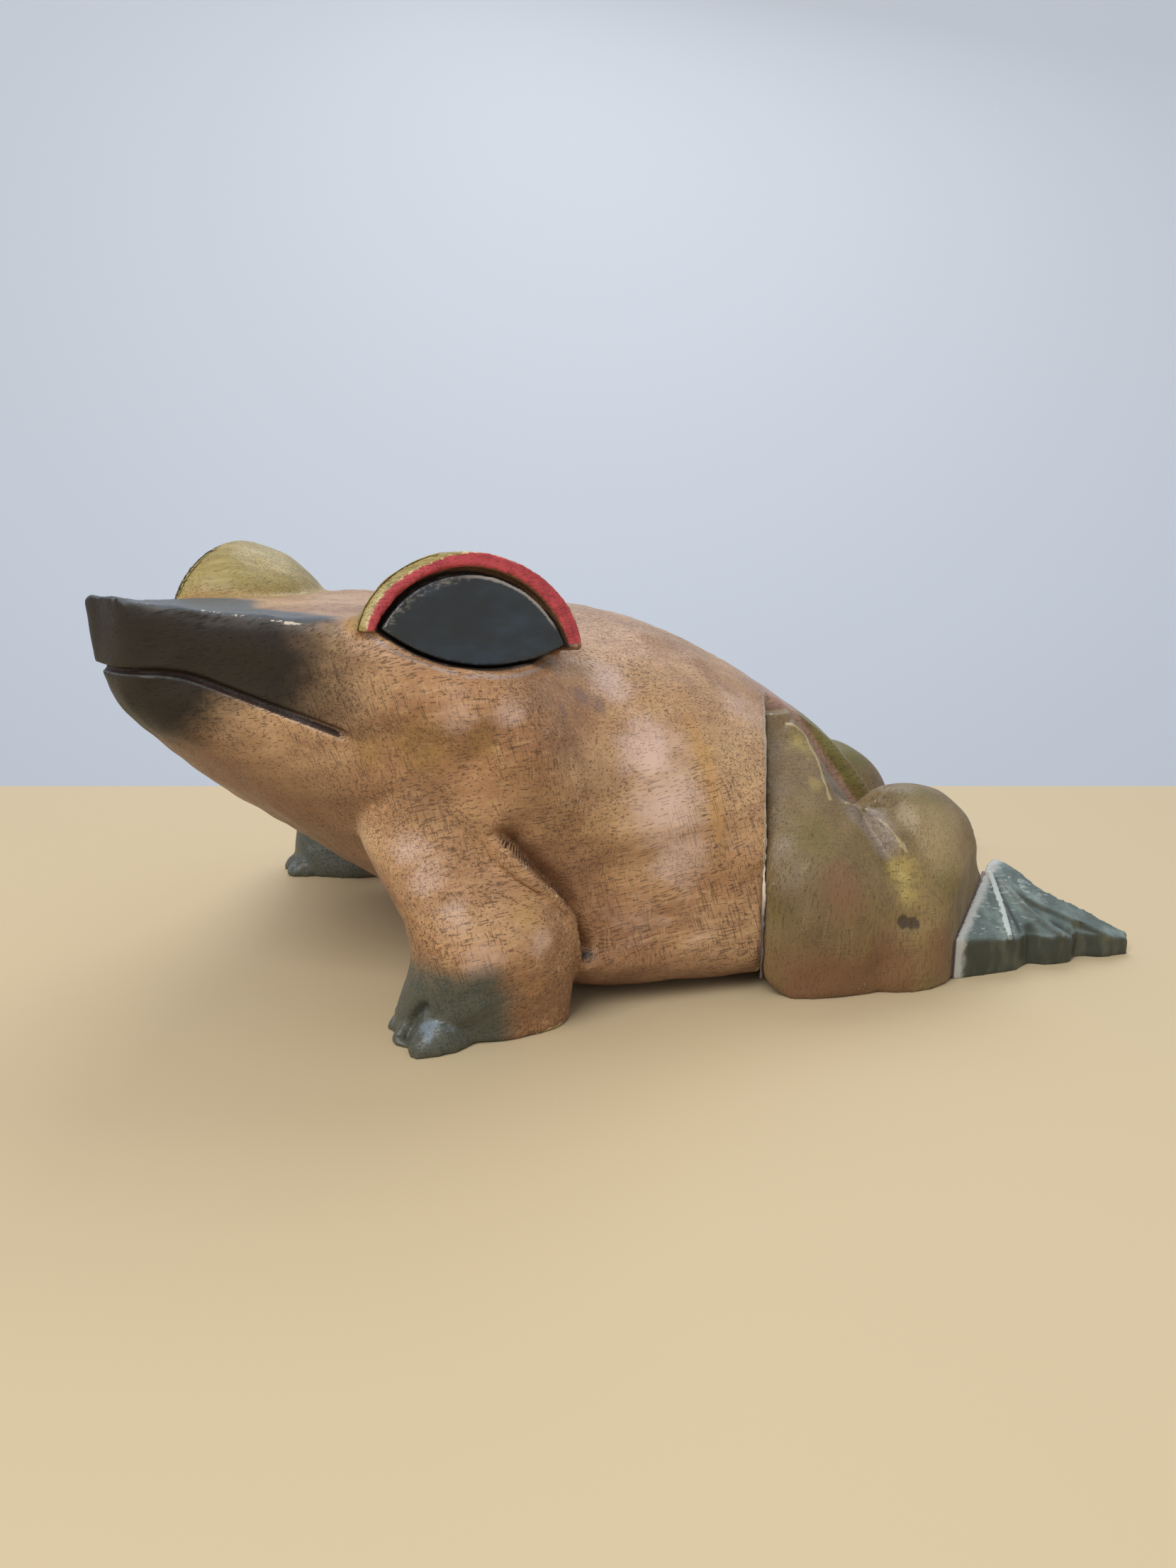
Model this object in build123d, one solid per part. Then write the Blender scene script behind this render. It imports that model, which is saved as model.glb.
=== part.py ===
from build123d import *
import os
from math import cos, radians, sin

# A carved wooden frog that crawls toward -X, with its left side at -Y, standing on Z = 0.
# Lengths are in millimetres and angles in degrees.

# Places along the middle of the body, seen from above
head_x = -81.0
head_y = -1.5
head_turn_angle = 30.0
snout_reach = 69.5
shoulder_x = -44.0
shoulder_y = 10.0
waist_x = 0.0
waist_y = 15.0
hips_x = 50.0
hips_y = 13.0
croup_x = 106.0
croup_y = 10.0

# Girth of the head and trunk
body_half_width = 72.0
back_height = 113.0

# Flat sawn top of the snout, measured from the back
crown_drop = 1.0
snout_rise = 4.3
crown_bend_reach = 26.0
crown_height = back_height - crown_drop
snout_height = back_height + snout_rise

# Mouth groove, measured down from the snout
mouth_front_drop = 18.8
mouth_corner_drop = 34.3
mouth_corner_reach = 30.0
mouth_bend_reach = 58.0
mouth_bend_radius = 24.0
mouth_depth = 2.2
mouth_gap = 1.4
mouth_section_count = 7
mouth_front_height = snout_height - mouth_front_drop
mouth_corner_height = snout_height - mouth_corner_drop

# Brows and eyes, on a face that flares out toward the back and leans in at its top
brow_inset = 8.0
face_flare_angle = 20.0
face_lean_angle = 8.0
eye_drop = 3.0
brow_spacing = body_half_width - brow_inset
eye_height = back_height - eye_drop
brow_half_length = 30.0
brow_advance = 1.5
brow_rise = 25.5
brow_depth = 33.0
brow_drop = 7.0
brow_foot = 3.0
brow_tilt_angle = 7.0
eye_front = 24.6
eye_rear = 23.2
eye_rise = 12.5
eye_sink = 10.3
eye_rear_drop = 6.0
eye_bulge = 1.6
eye_bevel_angle = 45.0
upper_gap = 2.2
lower_gap = 0.8
lid_ledge = 1.6
socket_depth = 5.0
socket_reach = brow_depth + brow_foot
glue_gap = 0.1

# Forelegs. Each shoulder lies inside the body's side, and each hand is set out from its shoulder.
foreleg_drop = 29.0
foreleg_half_length = 25.0
foreleg_half_width = 20.0
left_shoulder_x = -62.0
left_shoulder_inset = 24.0
left_hand_back = 14.0
left_hand_out = 18.0
left_hand_angle = 4.0
right_shoulder_x = -86.0
right_shoulder_inset = 38.0
right_hand_back = 8.0
right_hand_out = 58.0
right_hand_angle = -14.0
front_toe_count = 4
front_toe_angle = 20.0
front_toe_length = 15.0
front_toe_width = 7.2
front_toe_height = 8.5
front_toe_reach = 13.0

foreleg_height = back_height - foreleg_drop
left_shoulder_y = shoulder_y - body_half_width + left_shoulder_inset
right_shoulder_y = shoulder_y + body_half_width - right_shoulder_inset

# How square the forelegs and thighs are, where 1 is a plain oval
foreleg_power = 0.9
thigh_power = 0.85

# Hind legs, glued on behind a slanting seam at each side of the croup
hip_seam_x = 47.5
hip_seam_angle = 19.0
croup_half_width = 22.0
right_leg_setback = 18.0
left_haunch_drop = 33.0
right_haunch_drop = 43.0
left_haunch_height = back_height - left_haunch_drop
right_haunch_height = back_height - right_haunch_drop
thigh_half_length = 30.0
thigh_half_width = 30.0
calf_x = 84.0
calf_out = 51.0
calf_half_length = 28.0
calf_half_width = 23.0
left_calf_height = 57.0
right_calf_height = 50.0
calf_widest_height = 20.0
knee_x = 77.0
knee_out = 57.0
knee_half_length = 22.0
knee_half_width = 21.0
knee_height = 42.0
knee_widest_height = 13.0

# Webbed hind feet, glued on at the ankle
ankle_x = 91.0
ankle_out = 71.0
ankle_seam_angle = 45.0
ankle_seam_width = 35.0
ankle_height = 27.5
web_edge_height = 12.0
foot_length = 67.0
foot_tip_height = 6.0
foot_toe_in = 8.0
foot_tip_width = 9.0
foot_crest_lap = 8.0
foot_heel_lap = 12.0
web_notch_radius = 3.2
toe_ridge_radius = 1.3
web_notch_shares = (0.41, 0.72)
toe_ridge_shares = (0.31, 0.62, 0.90)
toe_ridge_start_share = 0.1

# Dowels in the glued joints
hip_dowel_radius = 4.0
hip_dowel_length = 32.0
hip_dowel_low = 22.0
hip_dowel_high = 40.0
hip_dowel_inset = 26.0
hip_dowel_out = body_half_width - croup_half_width - hip_dowel_inset
foot_dowel_radius = 3.0
foot_dowel_length = 16.0
foot_dowel_height = 7.0
foot_dowel_in = 24.0
dowel_clearance = 0.1
dowel_end_clearance = 0.6

# One length that carries every cut well clear of the frog
overrun = 200.0

head_forward = Vector(-cos(radians(head_turn_angle)), -sin(radians(head_turn_angle)), 0)
head_left = Vector(sin(radians(head_turn_angle)), -cos(radians(head_turn_angle)), 0)


def in_head(ahead, left, up):
    return Vector(head_x, head_y, up) + head_forward * ahead + head_left * left


# Each row holds the place along the spine, half width, crown, belly, level of the widest place
# between belly and crown, and how square the upper and lower halves are. Widths are shares of
# body_half_width and heights are shares of back_height.
station_shares = [
    (0.000, 0.135, 1.050, 0.862, 0.50, 0.50, 0.60),
    (0.022, 0.200, 1.055, 0.765, 0.60, 0.50, 0.75),
    (0.067, 0.350, 1.055, 0.662, 0.60, 0.50, 0.85),
    (0.125, 0.575, 1.050, 0.540, 0.60, 0.50, 0.90),
    (0.184, 0.790, 1.040, 0.434, 0.58, 0.45, 0.90),
    (0.258, 0.950, 1.027, 0.301, 0.58, 0.50, 0.80),
    (0.342, 1.060, 1.000, 0.165, 0.54, 0.55, 0.60),
    (0.430, 1.050, 0.985, 0.050, 0.48, 0.68, 0.40),
    (0.508, 1.010, 0.973, 0.015, 0.42, 0.78, 0.30),
    (0.592, 0.990, 0.945, 0.012, 0.40, 0.80, 0.26),
    (0.684, 0.972, 0.872, 0.012, 0.40, 0.85, 0.26),
    (0.784, 0.889, 0.743, 0.012, 0.42, 0.90, 0.32),
    (0.865, 0.722, 0.610, 0.020, 0.42, 0.90, 0.55),
    (0.935, 0.530, 0.420, 0.035, 0.42, 0.95, 0.80),
    (0.980, 0.360, 0.250, 0.053, 0.45, 1.00, 1.00),
    (1.000, 0.160, 0.150, 0.070, 0.50, 1.00, 1.00),
]
ring_angles = range(0, 360, 30)


def squared(value, power):
    return abs(value) ** power * (1 if value > 0 else -1)


def oval(plane, half_width, upper, lower, upper_power, lower_power):
    points = []
    for angle in ring_angles:
        c = cos(radians(angle))
        s = sin(radians(angle))
        power = upper_power if s > 0 else lower_power
        rise = upper if s > 0 else lower
        points.append((half_width * squared(c, power), rise * squared(s, power)))
    return plane * make_face(Spline(*points, periodic=True))


# The spine, seen from above, and the upright section plane at one place along it
def spine_plane(along, height=0):
    spine = Spline(
        in_head(snout_reach, 0, 0),
        in_head(0, 0, 0),
        (shoulder_x, shoulder_y, 0),
        (waist_x, waist_y, 0),
        (hips_x, hips_y, 0),
        (croup_x, croup_y, 0),
    )
    heading = spine % along
    side = Vector(heading.Y, -heading.X, 0)
    place = spine @ along + Vector(0, 0, height)
    return Plane(origin=place, x_dir=side, z_dir=side.cross(Vector(0, 0, 1)))


def trunk():
    sections = []
    for along, width, crown, belly, level, upper_power, lower_power in station_shares:
        middle = back_height * (belly + (crown - belly) * level)
        upper = back_height * crown - middle
        lower = middle - back_height * belly
        half_width = body_half_width * width
        plane = spine_plane(along, middle)
        sections.append(oval(plane, half_width, upper, lower, upper_power, lower_power))
    return loft(sections)


# The middle plane of the head, with x ahead and y up
def head_profile():
    return Plane(origin=in_head(0, 0, 0), x_dir=head_forward, z_dir=-head_left)


# The sawn crown is level between the brows and rises toward the snout in one shallow hollow.
def crown_waste():
    back = (-snout_reach, crown_height)
    bend = (crown_bend_reach, crown_height)
    tip = (snout_reach, snout_height)
    rise = TangentArc(bend, tip, tangent=(1, 0))
    slope = rise % 1
    front = (2 * snout_reach, snout_height + snout_reach * slope.Y / slope.X)
    above = [(front[0], 2 * back_height), (back[0], 2 * back_height)]
    outline = make_face([Line(back, bend), rise, Line(tip, front), Polyline(front, *above, back)])
    return extrude(head_profile() * outline, 2 * body_half_width, both=True)


# The face of the left eye, with x toward the back of the head and y up.
def eye_face():
    turn = radians(head_turn_angle - face_flare_angle)
    lean = radians(face_lean_angle)
    rearward = Vector(cos(turn), sin(turn), 0)
    outward = Vector(sin(turn), -cos(turn), 0) * cos(lean) + Vector(0, 0, 1) * sin(lean)
    return Plane(origin=in_head(0, brow_spacing, eye_height), x_dir=rearward, z_dir=outward)


def almond(upper_margin, lower_margin):
    corner_margin = (upper_margin + lower_margin) / 2
    front = (-eye_front - corner_margin, 0)
    rear = (eye_rear + corner_margin, -eye_rear_drop)
    over = (0, eye_rise + upper_margin)
    under = (0, -eye_sink - lower_margin)
    return make_face([ThreePointArc(front, over, rear), ThreePointArc(rear, under, front)])


def left_brow(face):
    ball = scale(
        Sphere(brow_half_length),
        by=(1, brow_rise / brow_half_length, brow_depth / brow_half_length),
    )
    brow = split(ball, bisect_by=Plane.XZ.offset(-brow_foot), keep=Keep.BOTTOM)
    return face * Pos(-brow_advance, -brow_drop, 0) * Rot(0, 0, -brow_tilt_angle) * brow


# Waste in front of the eye face: the wood outside the brow and above the lower lid.
def left_clearing(face):
    front = (-brow_half_length - brow_advance - lid_ledge, 0)
    rear = (brow_half_length + lid_ledge, -eye_rear_drop - lid_ledge)
    over = (0, brow_rise + lid_ledge)
    under = (0, -eye_sink - lid_ledge)
    outline = make_face([ThreePointArc(front, over, rear), ThreePointArc(rear, under, front)])
    return extrude(face * outline, socket_reach)


# The hollow that the inlay sits in, with a gap round it
def left_pocket(face):
    start = face.offset(-socket_depth)
    return extrude(start * almond(upper_gap, lower_gap), socket_depth + socket_reach)


# A glued almond inlay with a gently domed outer side and a bevelled edge.
def left_eye(face):
    seat = face.offset(glue_gap - socket_depth)
    plug = extrude(seat * almond(0, 0), socket_depth - glue_gap)
    bevel = extrude(face * almond(0, 0), eye_bulge, taper=eye_bevel_angle)
    half = (eye_front + eye_rear) / 2
    dome_radius = (half**2 + eye_bulge**2) / (2 * eye_bulge)
    dome = face.offset(eye_bulge - dome_radius) * Sphere(dome_radius)
    return (plug + bevel) & dome


def lip(rise):
    front = (2 * snout_reach, mouth_front_height + rise)
    bend = (mouth_bend_reach, mouth_front_height + rise)
    corner = (mouth_corner_reach, mouth_corner_height + rise)
    return FilletPolyline(front, bend, corner, radius=mouth_bend_radius)


# A groove round the snout, level at the front and then falling straight to the corners of the
# mouth. The core holds the wood that lies deeper than the groove.
def mouth_groove():
    upper = lip(mouth_gap / 2)
    lower = lip(-mouth_gap / 2)
    ends = [Line(upper @ 0, lower @ 0), Line(upper @ 1, lower @ 1)]
    outline = make_face([*upper.edges(), *lower.edges(), *ends])
    band = extrude(head_profile() * outline, 2 * body_half_width, both=True)
    left = []
    right = []
    for along, width, *rest in station_shares[:mouth_section_count]:
        plane = spine_plane(along)
        middle = plane.origin - head_forward * mouth_depth
        left.append(middle + plane.x_dir * (body_half_width * width - mouth_depth))
        right.insert(0, middle - plane.x_dir * (body_half_width * width - mouth_depth))
    core = make_face(Polyline(*left, *right, left[0]))
    return band - extrude(core, 2 * back_height)


# Each row holds the height, place between hand and shoulder, half length and half width.
foreleg_shares = [
    (1.00, 1.00, 0.72, 1.00),
    (0.76, 0.80, 0.86, 1.00),
    (0.54, 0.47, 0.92, 0.95),
    (0.30, -0.06, 0.88, 0.82),
    (0.15, 0.00, 0.93, 0.76),
    (-0.06, 0.00, 0.96, 0.68),
]


def foreleg(shoulder, hand, hand_angle):
    heading = Vector(cos(radians(hand_angle)), sin(radians(hand_angle)), 0)
    sections = []
    for level, toward, length, width in foreleg_shares:
        place = hand + (shoulder - hand) * toward
        plane = Plane(
            origin=(place.X, place.Y, foreleg_height * level), x_dir=heading, z_dir=(0, 0, 1)
        )
        half_length = foreleg_half_length * length
        half_width = foreleg_half_width * width
        sections.append(
            oval(plane, half_length, half_width, half_width, foreleg_power, foreleg_power)
        )
    limb = loft(sections)
    toe = scale(
        Sphere(front_toe_length),
        by=(1, front_toe_width / front_toe_length, front_toe_height / front_toe_length),
    )
    for index in range(front_toe_count):
        turn = front_toe_angle * (index - (front_toe_count - 1) / 2)
        limb += (
            Pos(hand.X, hand.Y, 0)
            * Rot(0, 0, hand_angle + turn)
            * Pos(-front_toe_reach, 0, 0)
            * toe
        )
    return limb


# The space behind the slanting seam and outside the croup, which the left leg block fills.
def left_hip_space(gap):
    inner = hips_y - croup_half_width - gap
    lean = radians(hip_seam_angle)
    front_x = hip_seam_x + gap / cos(lean)
    corner = (front_x - gap * sin(lean) / cos(lean), inner)
    outer = (corner[0] - overrun * sin(lean), corner[1] - overrun * cos(lean))
    outline = make_face(Polyline(corner, outer, (overrun, outer[1]), (overrun, inner), corner))
    return extrude(outline, overrun)


# Each row holds the height, places along and out from the seam's inner corner, half length and
# half width.
thigh_shares = [
    (-0.06, 0.21, 0.87, 0.95, 0.84),
    (0.20, 0.26, 0.87, 1.00, 1.00),
    (0.42, 0.18, 0.83, 0.85, 1.00),
    (0.62, 0.04, 0.60, 0.68, 0.87),
    (0.80, -0.04, 0.27, 0.48, 0.57),
    (0.96, 0.00, 0.07, 0.26, 0.27),
]


# A rounded lump of the folded leg, with its widest place at a height above the ground
def muscle(place_x, out, widest_height, half_length, half_width, top_height):
    ball = scale(
        Sphere(half_length),
        by=(1, half_width / half_length, (top_height - widest_height) / half_length),
    )
    return Pos(place_x, hips_y - out, widest_height) * ball


def leg_form(haunch_height, calf_height):
    sections = []
    for level, along, out, length, width in thigh_shares:
        plane = Plane(
            origin=(
                hip_seam_x + thigh_half_length * along,
                hips_y - croup_half_width - thigh_half_width * out,
                haunch_height * level,
            )
        )
        half_length = thigh_half_length * length
        half_width = thigh_half_width * width
        sections.append(oval(plane, half_length, half_width, half_width, thigh_power, thigh_power))
    thigh = loft(sections)
    calf = muscle(
        calf_x, calf_out, calf_widest_height, calf_half_length, calf_half_width, calf_height
    )
    knee = muscle(
        knee_x, knee_out, knee_widest_height, knee_half_length, knee_half_width, knee_height
    )
    return thigh + calf + knee


# The ankle seam, facing out of the leg into the foot.
def ankle_plane():
    lean = radians(ankle_seam_angle)
    outward = Vector(sin(lean), -cos(lean), 0)
    return Plane(
        origin=(ankle_x, hips_y - ankle_out, 0), x_dir=Vector(0, 0, 1), z_dir=outward
    )


# A web that slopes from a crest on the ankle down to a notched edge, with ridges along the toes.
def left_foot(seam):
    lean = radians(ankle_seam_angle)
    heel = Vector(ankle_x, hips_y - ankle_out, 0)
    crest = heel + Vector(cos(lean), sin(lean), 0) * ankle_seam_width
    tip = heel + Vector(foot_length, foot_toe_in, 0)
    outline = make_face(
        Polyline(
            heel - Vector(foot_heel_lap, 0, 0),
            tip,
            tip + Vector(0, foot_tip_width, 0),
            crest + Vector(0, foot_crest_lap, 0),
            crest - Vector(foot_heel_lap, 0, 0),
            heel - Vector(foot_heel_lap, 0, 0),
        )
    )
    block = extrude(outline, ankle_height)
    crest_top = crest + Vector(0, 0, ankle_height)
    heel_top = heel + Vector(0, 0, web_edge_height)
    tip_top = tip + Vector(0, 0, foot_tip_height)
    slope_normal = (heel_top - crest_top).cross(tip_top - crest_top).normalized()
    if slope_normal.Z < 0:
        slope_normal = slope_normal * -1
    slope = Plane(origin=crest_top, z_dir=slope_normal)
    web = split(block, bisect_by=slope, keep=Keep.BOTTOM)
    edge = tip - heel
    for share in web_notch_shares:
        notch = heel + edge * share
        web -= Pos(notch.X, notch.Y - web_notch_radius / 2, 0) * Cylinder(
            web_notch_radius, overrun
        )
    for share in toe_ridge_shares:
        end = heel_top + (tip_top - heel_top) * share
        start = crest_top + (end - crest_top) * toe_ridge_start_share
        run = end - start
        web += Plane(origin=start + run / 2, z_dir=run) * Cylinder(
            toe_ridge_radius, run.length
        )
    return split(web, bisect_by=seam, keep=Keep.TOP)


def hip_dowels(radius, length):
    lean = radians(hip_seam_angle)
    across = Vector(cos(lean), -sin(lean), 0)
    along = Vector(-sin(lean), -cos(lean), 0)
    corner = Vector(hip_seam_x, hips_y - croup_half_width, 0)
    pins = []
    for height in (hip_dowel_low, hip_dowel_high):
        middle = corner + along * hip_dowel_out + Vector(0, 0, height)
        pins.append(Plane(origin=middle, z_dir=across) * Cylinder(radius, length))
    return pins


def foot_dowel(seam, radius, length):
    lean = radians(ankle_seam_angle)
    middle = seam.origin + Vector(cos(lean), sin(lean), 0) * foot_dowel_in
    place = middle + Vector(0, 0, foot_dowel_height)
    return Plane(origin=place, z_dir=seam.z_dir) * Cylinder(radius, length)


def without(solid, cutters):
    for cutter in cutters:
        solid = solid - cutter
    return solid


ground = Pos(0, 0, -overrun) * Box(4 * overrun, 4 * overrun, 2 * overrun)
head_mirror = Plane(origin=in_head(0, 0, 0), x_dir=head_forward, z_dir=head_left)
hip_mirror = Plane(origin=(hips_x, hips_y, 0), x_dir=(1, 0, 0), z_dir=(0, 1, 0))


def to_right_leg(shape):
    return Pos(right_leg_setback, 0, 0) * mirror(shape, about=hip_mirror)


# Head, trunk and forelegs
def body_form(face):
    body = trunk() - crown_waste() - mouth_groove()
    brow = left_brow(face)
    body = body + brow + mirror(brow, about=head_mirror)
    for waste in (left_clearing(face), left_pocket(face)):
        body = body - waste - mirror(waste, about=head_mirror)
    left_shoulder = Vector(left_shoulder_x, left_shoulder_y, 0)
    left_hand = left_shoulder + Vector(left_hand_back, -left_hand_out, 0)
    left_arm = foreleg(left_shoulder, left_hand, left_hand_angle)
    right_shoulder = Vector(right_shoulder_x, right_shoulder_y, 0)
    right_hand = right_shoulder + Vector(right_hand_back, right_hand_out, 0)
    right_arm = foreleg(right_shoulder, right_hand, right_hand_angle)
    body = body + left_arm + right_arm
    space = left_hip_space(0)
    return body - space - to_right_leg(space) - ground


face = eye_face()
body = body_form(face)

# Hind legs and feet. The right ones are lower and stand further back.
seam = ankle_plane()
hip_pins = hip_dowels(hip_dowel_radius, hip_dowel_length)
hip_holes = hip_dowels(
    hip_dowel_radius + dowel_clearance, hip_dowel_length + 2 * dowel_end_clearance
)
foot_pin = foot_dowel(seam, foot_dowel_radius, foot_dowel_length)
foot_hole = foot_dowel(
    seam, foot_dowel_radius + dowel_clearance, foot_dowel_length + 2 * dowel_end_clearance
)


def hind_leg(haunch_height, calf_height):
    leg = leg_form(haunch_height, calf_height) & left_hip_space(glue_gap)
    leg = split(leg, bisect_by=seam, keep=Keep.BOTTOM) - ground
    return without(leg, hip_holes + [foot_hole])


left_leg = hind_leg(left_haunch_height, left_calf_height)
right_leg = to_right_leg(hind_leg(right_haunch_height, right_calf_height))
foot = left_foot(seam.offset(glue_gap)) - foot_hole
body = without(body, hip_holes + [to_right_leg(hole) for hole in hip_holes])

eye = left_eye(face)
pieces = {
    "body_block": body,
    "left_eye": eye,
    "right_eye": mirror(eye, about=head_mirror),
    "left_hind_leg": left_leg,
    "right_hind_leg": right_leg,
    "left_hind_foot": foot,
    "right_hind_foot": to_right_leg(foot),
    "left_hip_dowels": Compound(children=hip_pins),
    "right_hip_dowels": Compound(children=[to_right_leg(pin) for pin in hip_pins]),
    "left_foot_dowel": foot_pin,
    "right_foot_dowel": to_right_leg(foot_pin),
}

# The origin goes to the middle of the frog's footprint.
box = Compound(children=[Compound(piece.solids()) for piece in pieces.values()]).bounding_box()
shift = Pos(-(box.min.X + box.max.X) / 2, -(box.min.Y + box.max.Y) / 2, -box.min.Z)
os.makedirs("parts", exist_ok=True)
for name, piece in pieces.items():
    export_step(shift * piece, f"parts/{name}.step")
print("size", box.size, "shift", shift.position)
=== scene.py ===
from math import cos, radians, sin

import bmesh
import bpy
import numpy as np
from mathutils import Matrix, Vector
from mathutils.bvhtree import BVHTree


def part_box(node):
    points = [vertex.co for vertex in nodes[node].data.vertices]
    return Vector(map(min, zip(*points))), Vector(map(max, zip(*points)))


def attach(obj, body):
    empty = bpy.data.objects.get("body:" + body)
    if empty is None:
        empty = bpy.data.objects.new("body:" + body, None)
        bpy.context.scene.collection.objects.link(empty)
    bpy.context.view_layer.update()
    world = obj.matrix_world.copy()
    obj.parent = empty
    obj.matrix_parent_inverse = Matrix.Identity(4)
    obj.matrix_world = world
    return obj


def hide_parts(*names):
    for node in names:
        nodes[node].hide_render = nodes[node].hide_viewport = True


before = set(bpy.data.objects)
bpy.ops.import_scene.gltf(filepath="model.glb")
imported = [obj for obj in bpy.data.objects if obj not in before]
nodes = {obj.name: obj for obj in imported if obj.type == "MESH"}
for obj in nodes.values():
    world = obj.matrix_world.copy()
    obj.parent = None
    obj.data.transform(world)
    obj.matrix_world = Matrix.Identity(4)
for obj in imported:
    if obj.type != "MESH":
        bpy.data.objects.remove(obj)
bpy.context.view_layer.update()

scene = bpy.context.scene
mm = 0.001


def unit(vector):
    return np.asarray(vector, float) / np.linalg.norm(vector)


# The way level along the ground at an angle from the frog's length
def level(angle):
    return np.array((cos(angle), sin(angle), 0))


# The carving is laid out in millimetres from the middle of the frog's own plan, as its solids are.
# The left ankle dowel tells where that middle lies in the frame.
plan = dict(
    headX=-81.0, headY=-1.5, headTurn=30.0, browSpacing=64.0, faceFlare=20.0, faceLean=8.0,
    eyeHeight=110.0, hipsY=13.0, seamX=47.5, seamLean=19.0, croupHalf=22.0,
    rightSetback=18.0, ankleX=91.0, ankleOut=71.0, ankleLean=45.0, dowelIn=24.0,
)
lean = radians(plan["ankleLean"])
low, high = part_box("left_foot_dowel")
heel = np.array((plan["ankleX"], plan["hipsY"] - plan["ankleOut"], 0))
ankleAlong, ankleAcross = level(lean), -level(lean + radians(90))
hipCorner = np.array((plan["seamX"], plan["hipsY"] - plan["croupHalf"], 0))
hipAcross, hipAlong = level(-radians(plan["seamLean"])), level(radians(-90 - plan["seamLean"]))
planShift = (np.array((low + high) / 2 / mm) - heel - level(lean) * plan["dowelIn"]) * (1, 1, 0)


# The camera stands at the photograph's height and angle
view = dict(height=2212, width=1659, focal=1662.0, eye=(-89.35, -355.83, 140.0), yaw=13.0, pitch=13.4)
yaw, pitch = radians(view["yaw"]), radians(view["pitch"])
viewForward = np.array((sin(yaw) * cos(pitch), cos(yaw) * cos(pitch), -sin(pitch)))
viewRight = level(-yaw)
viewUp = np.cross(viewRight, viewForward)


def inScene(points):
    return (np.asarray(points) + planShift) * mm


def newObject(name, data):
    made = bpy.data.objects.new(name, data)
    scene.collection.objects.link(made)
    return made


scene.camera = newObject("camera", bpy.data.cameras.new("camera"))
scene.camera.data.lens = scene.camera.data.sensor_width * view["focal"] / view["height"]
scene.camera.data.clip_start = 0.01
scene.camera.location = inScene(view["eye"])
scene.camera.rotation_euler = (radians(90) - pitch, 0, -yaw)


# Tools for carving work on arrays of points in plan millimetres
def read(items, name, width, kind=float):
    flat = np.empty(len(items) * width, kind)
    items.foreach_get(name, flat)
    return flat.reshape(-1, width)


def readPoints(mesh):
    return read(mesh.vertices, "co", 3) / mm - planShift


def readNormals(mesh):
    return read(mesh.vertices, "normal", 3)


def readMesh(mesh):
    return readPoints(mesh), read(mesh.edges, "vertices", 2, np.int32)


def writePoints(mesh, points):
    mesh.vertices.foreach_set("co", inScene(points).ravel())
    mesh.update()


# Points moved out of the wood, or into it where the amount is negative
def pushed(points, normals, amount):
    return points + normals * amount[:, None]


# The mean of each point's neighbours
def average(edges, values):
    count, (first, second) = len(values), edges.T
    near = np.maximum(np.bincount(edges.ravel(), minlength=count), 1)
    source = np.asarray(values, float).reshape(count, -1)
    total = [np.bincount(first, column[second], count) + np.bincount(second, column[first], count)
             for column in source.T]
    return (np.stack(total, 1) / near[:, None]).reshape(np.shape(values))


def smooth(points, edges, steps, share=None, keepSize=False):
    share = np.ones(len(points)) if share is None else share
    for step in range(steps):
        points = points + (average(edges, points) - points) * (0.5 * share)[:, None]
        if keepSize:
            points = points - (average(edges, points) - points) * (0.53 * share)[:, None]
    return points


def spread(values, edges, steps):
    for step in range(steps):
        values = (values + average(edges, values)) / 2
    return values


def ramp(values, start, end):
    share = np.clip((values - start) / (end - start), 0, 1)
    return share * share * (3 - 2 * share)


def ripple(points, size, seed):
    rng = np.random.default_rng(seed)
    total = np.zeros(len(points))
    for wave in range(24):
        heading = unit(rng.normal(size=3)) * 2 * np.pi / (size * rng.uniform(0.7, 1.5))
        total += np.sin(points @ heading + rng.uniform(0, 2 * np.pi))
    return total / 24 ** 0.5


# The mesh that a modifier makes of a piece takes the place of its own
def applied(piece, modifier):
    made = bpy.data.meshes.new_from_object(piece.evaluated_get(bpy.context.evaluated_depsgraph_get()))
    piece.modifiers.remove(modifier)
    old, piece.data = piece.data, made
    bpy.data.meshes.remove(old)
    made.name = piece.name
    return piece


# An even skin of small cells over one node of the CAD
def skinOver(node, name, voxel):
    joined = bmesh.new()
    joined.from_mesh(nodes[node].data)
    bmesh.ops.remove_doubles(joined, verts=joined.verts, dist=0.002 * mm)
    piece = newObject(name, bpy.data.meshes.new(name))
    joined.to_mesh(piece.data)
    joined.free()
    shell = piece.modifiers.new("shell", "REMESH")
    shell.mode, shell.voxel_size = "VOXEL", voxel * mm
    return applied(piece, shell)


def refine(piece, chosen):
    fine = bmesh.new()
    fine.from_mesh(piece.data)
    fine.verts.ensure_lookup_table()
    picked = [edge for edge in fine.edges if chosen[edge.verts[0].index] and chosen[edge.verts[1].index]]
    bmesh.ops.subdivide_edges(fine, edges=picked, cuts=1, use_grid_fill=True)
    bmesh.ops.triangulate(fine, faces=[face for face in fine.faces if len(face.verts) > 4])
    fine.to_mesh(piece.data)
    fine.free()


def rayTree(mesh, side="left"):
    faces = [tuple(face.vertices) for face in mesh.polygons]
    return BVHTree.FromPolygons([Vector(point) for point in asLeft(readPoints(mesh), side)], faces)


# The right leg is the left one mirrored and set back. This swaps a place between the two sides.
def asLeft(points, side, setback=-plan["rightSetback"]):
    return points.copy() if side == "left" else points * (1, -1, 1) + (setback, 2 * plan["hipsY"], 0)


# Turns a direction on the left leg into the same one on either side
flip = dict(left=np.array((1, 1, 1)), right=np.array((1, -1, 1)))


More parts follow.
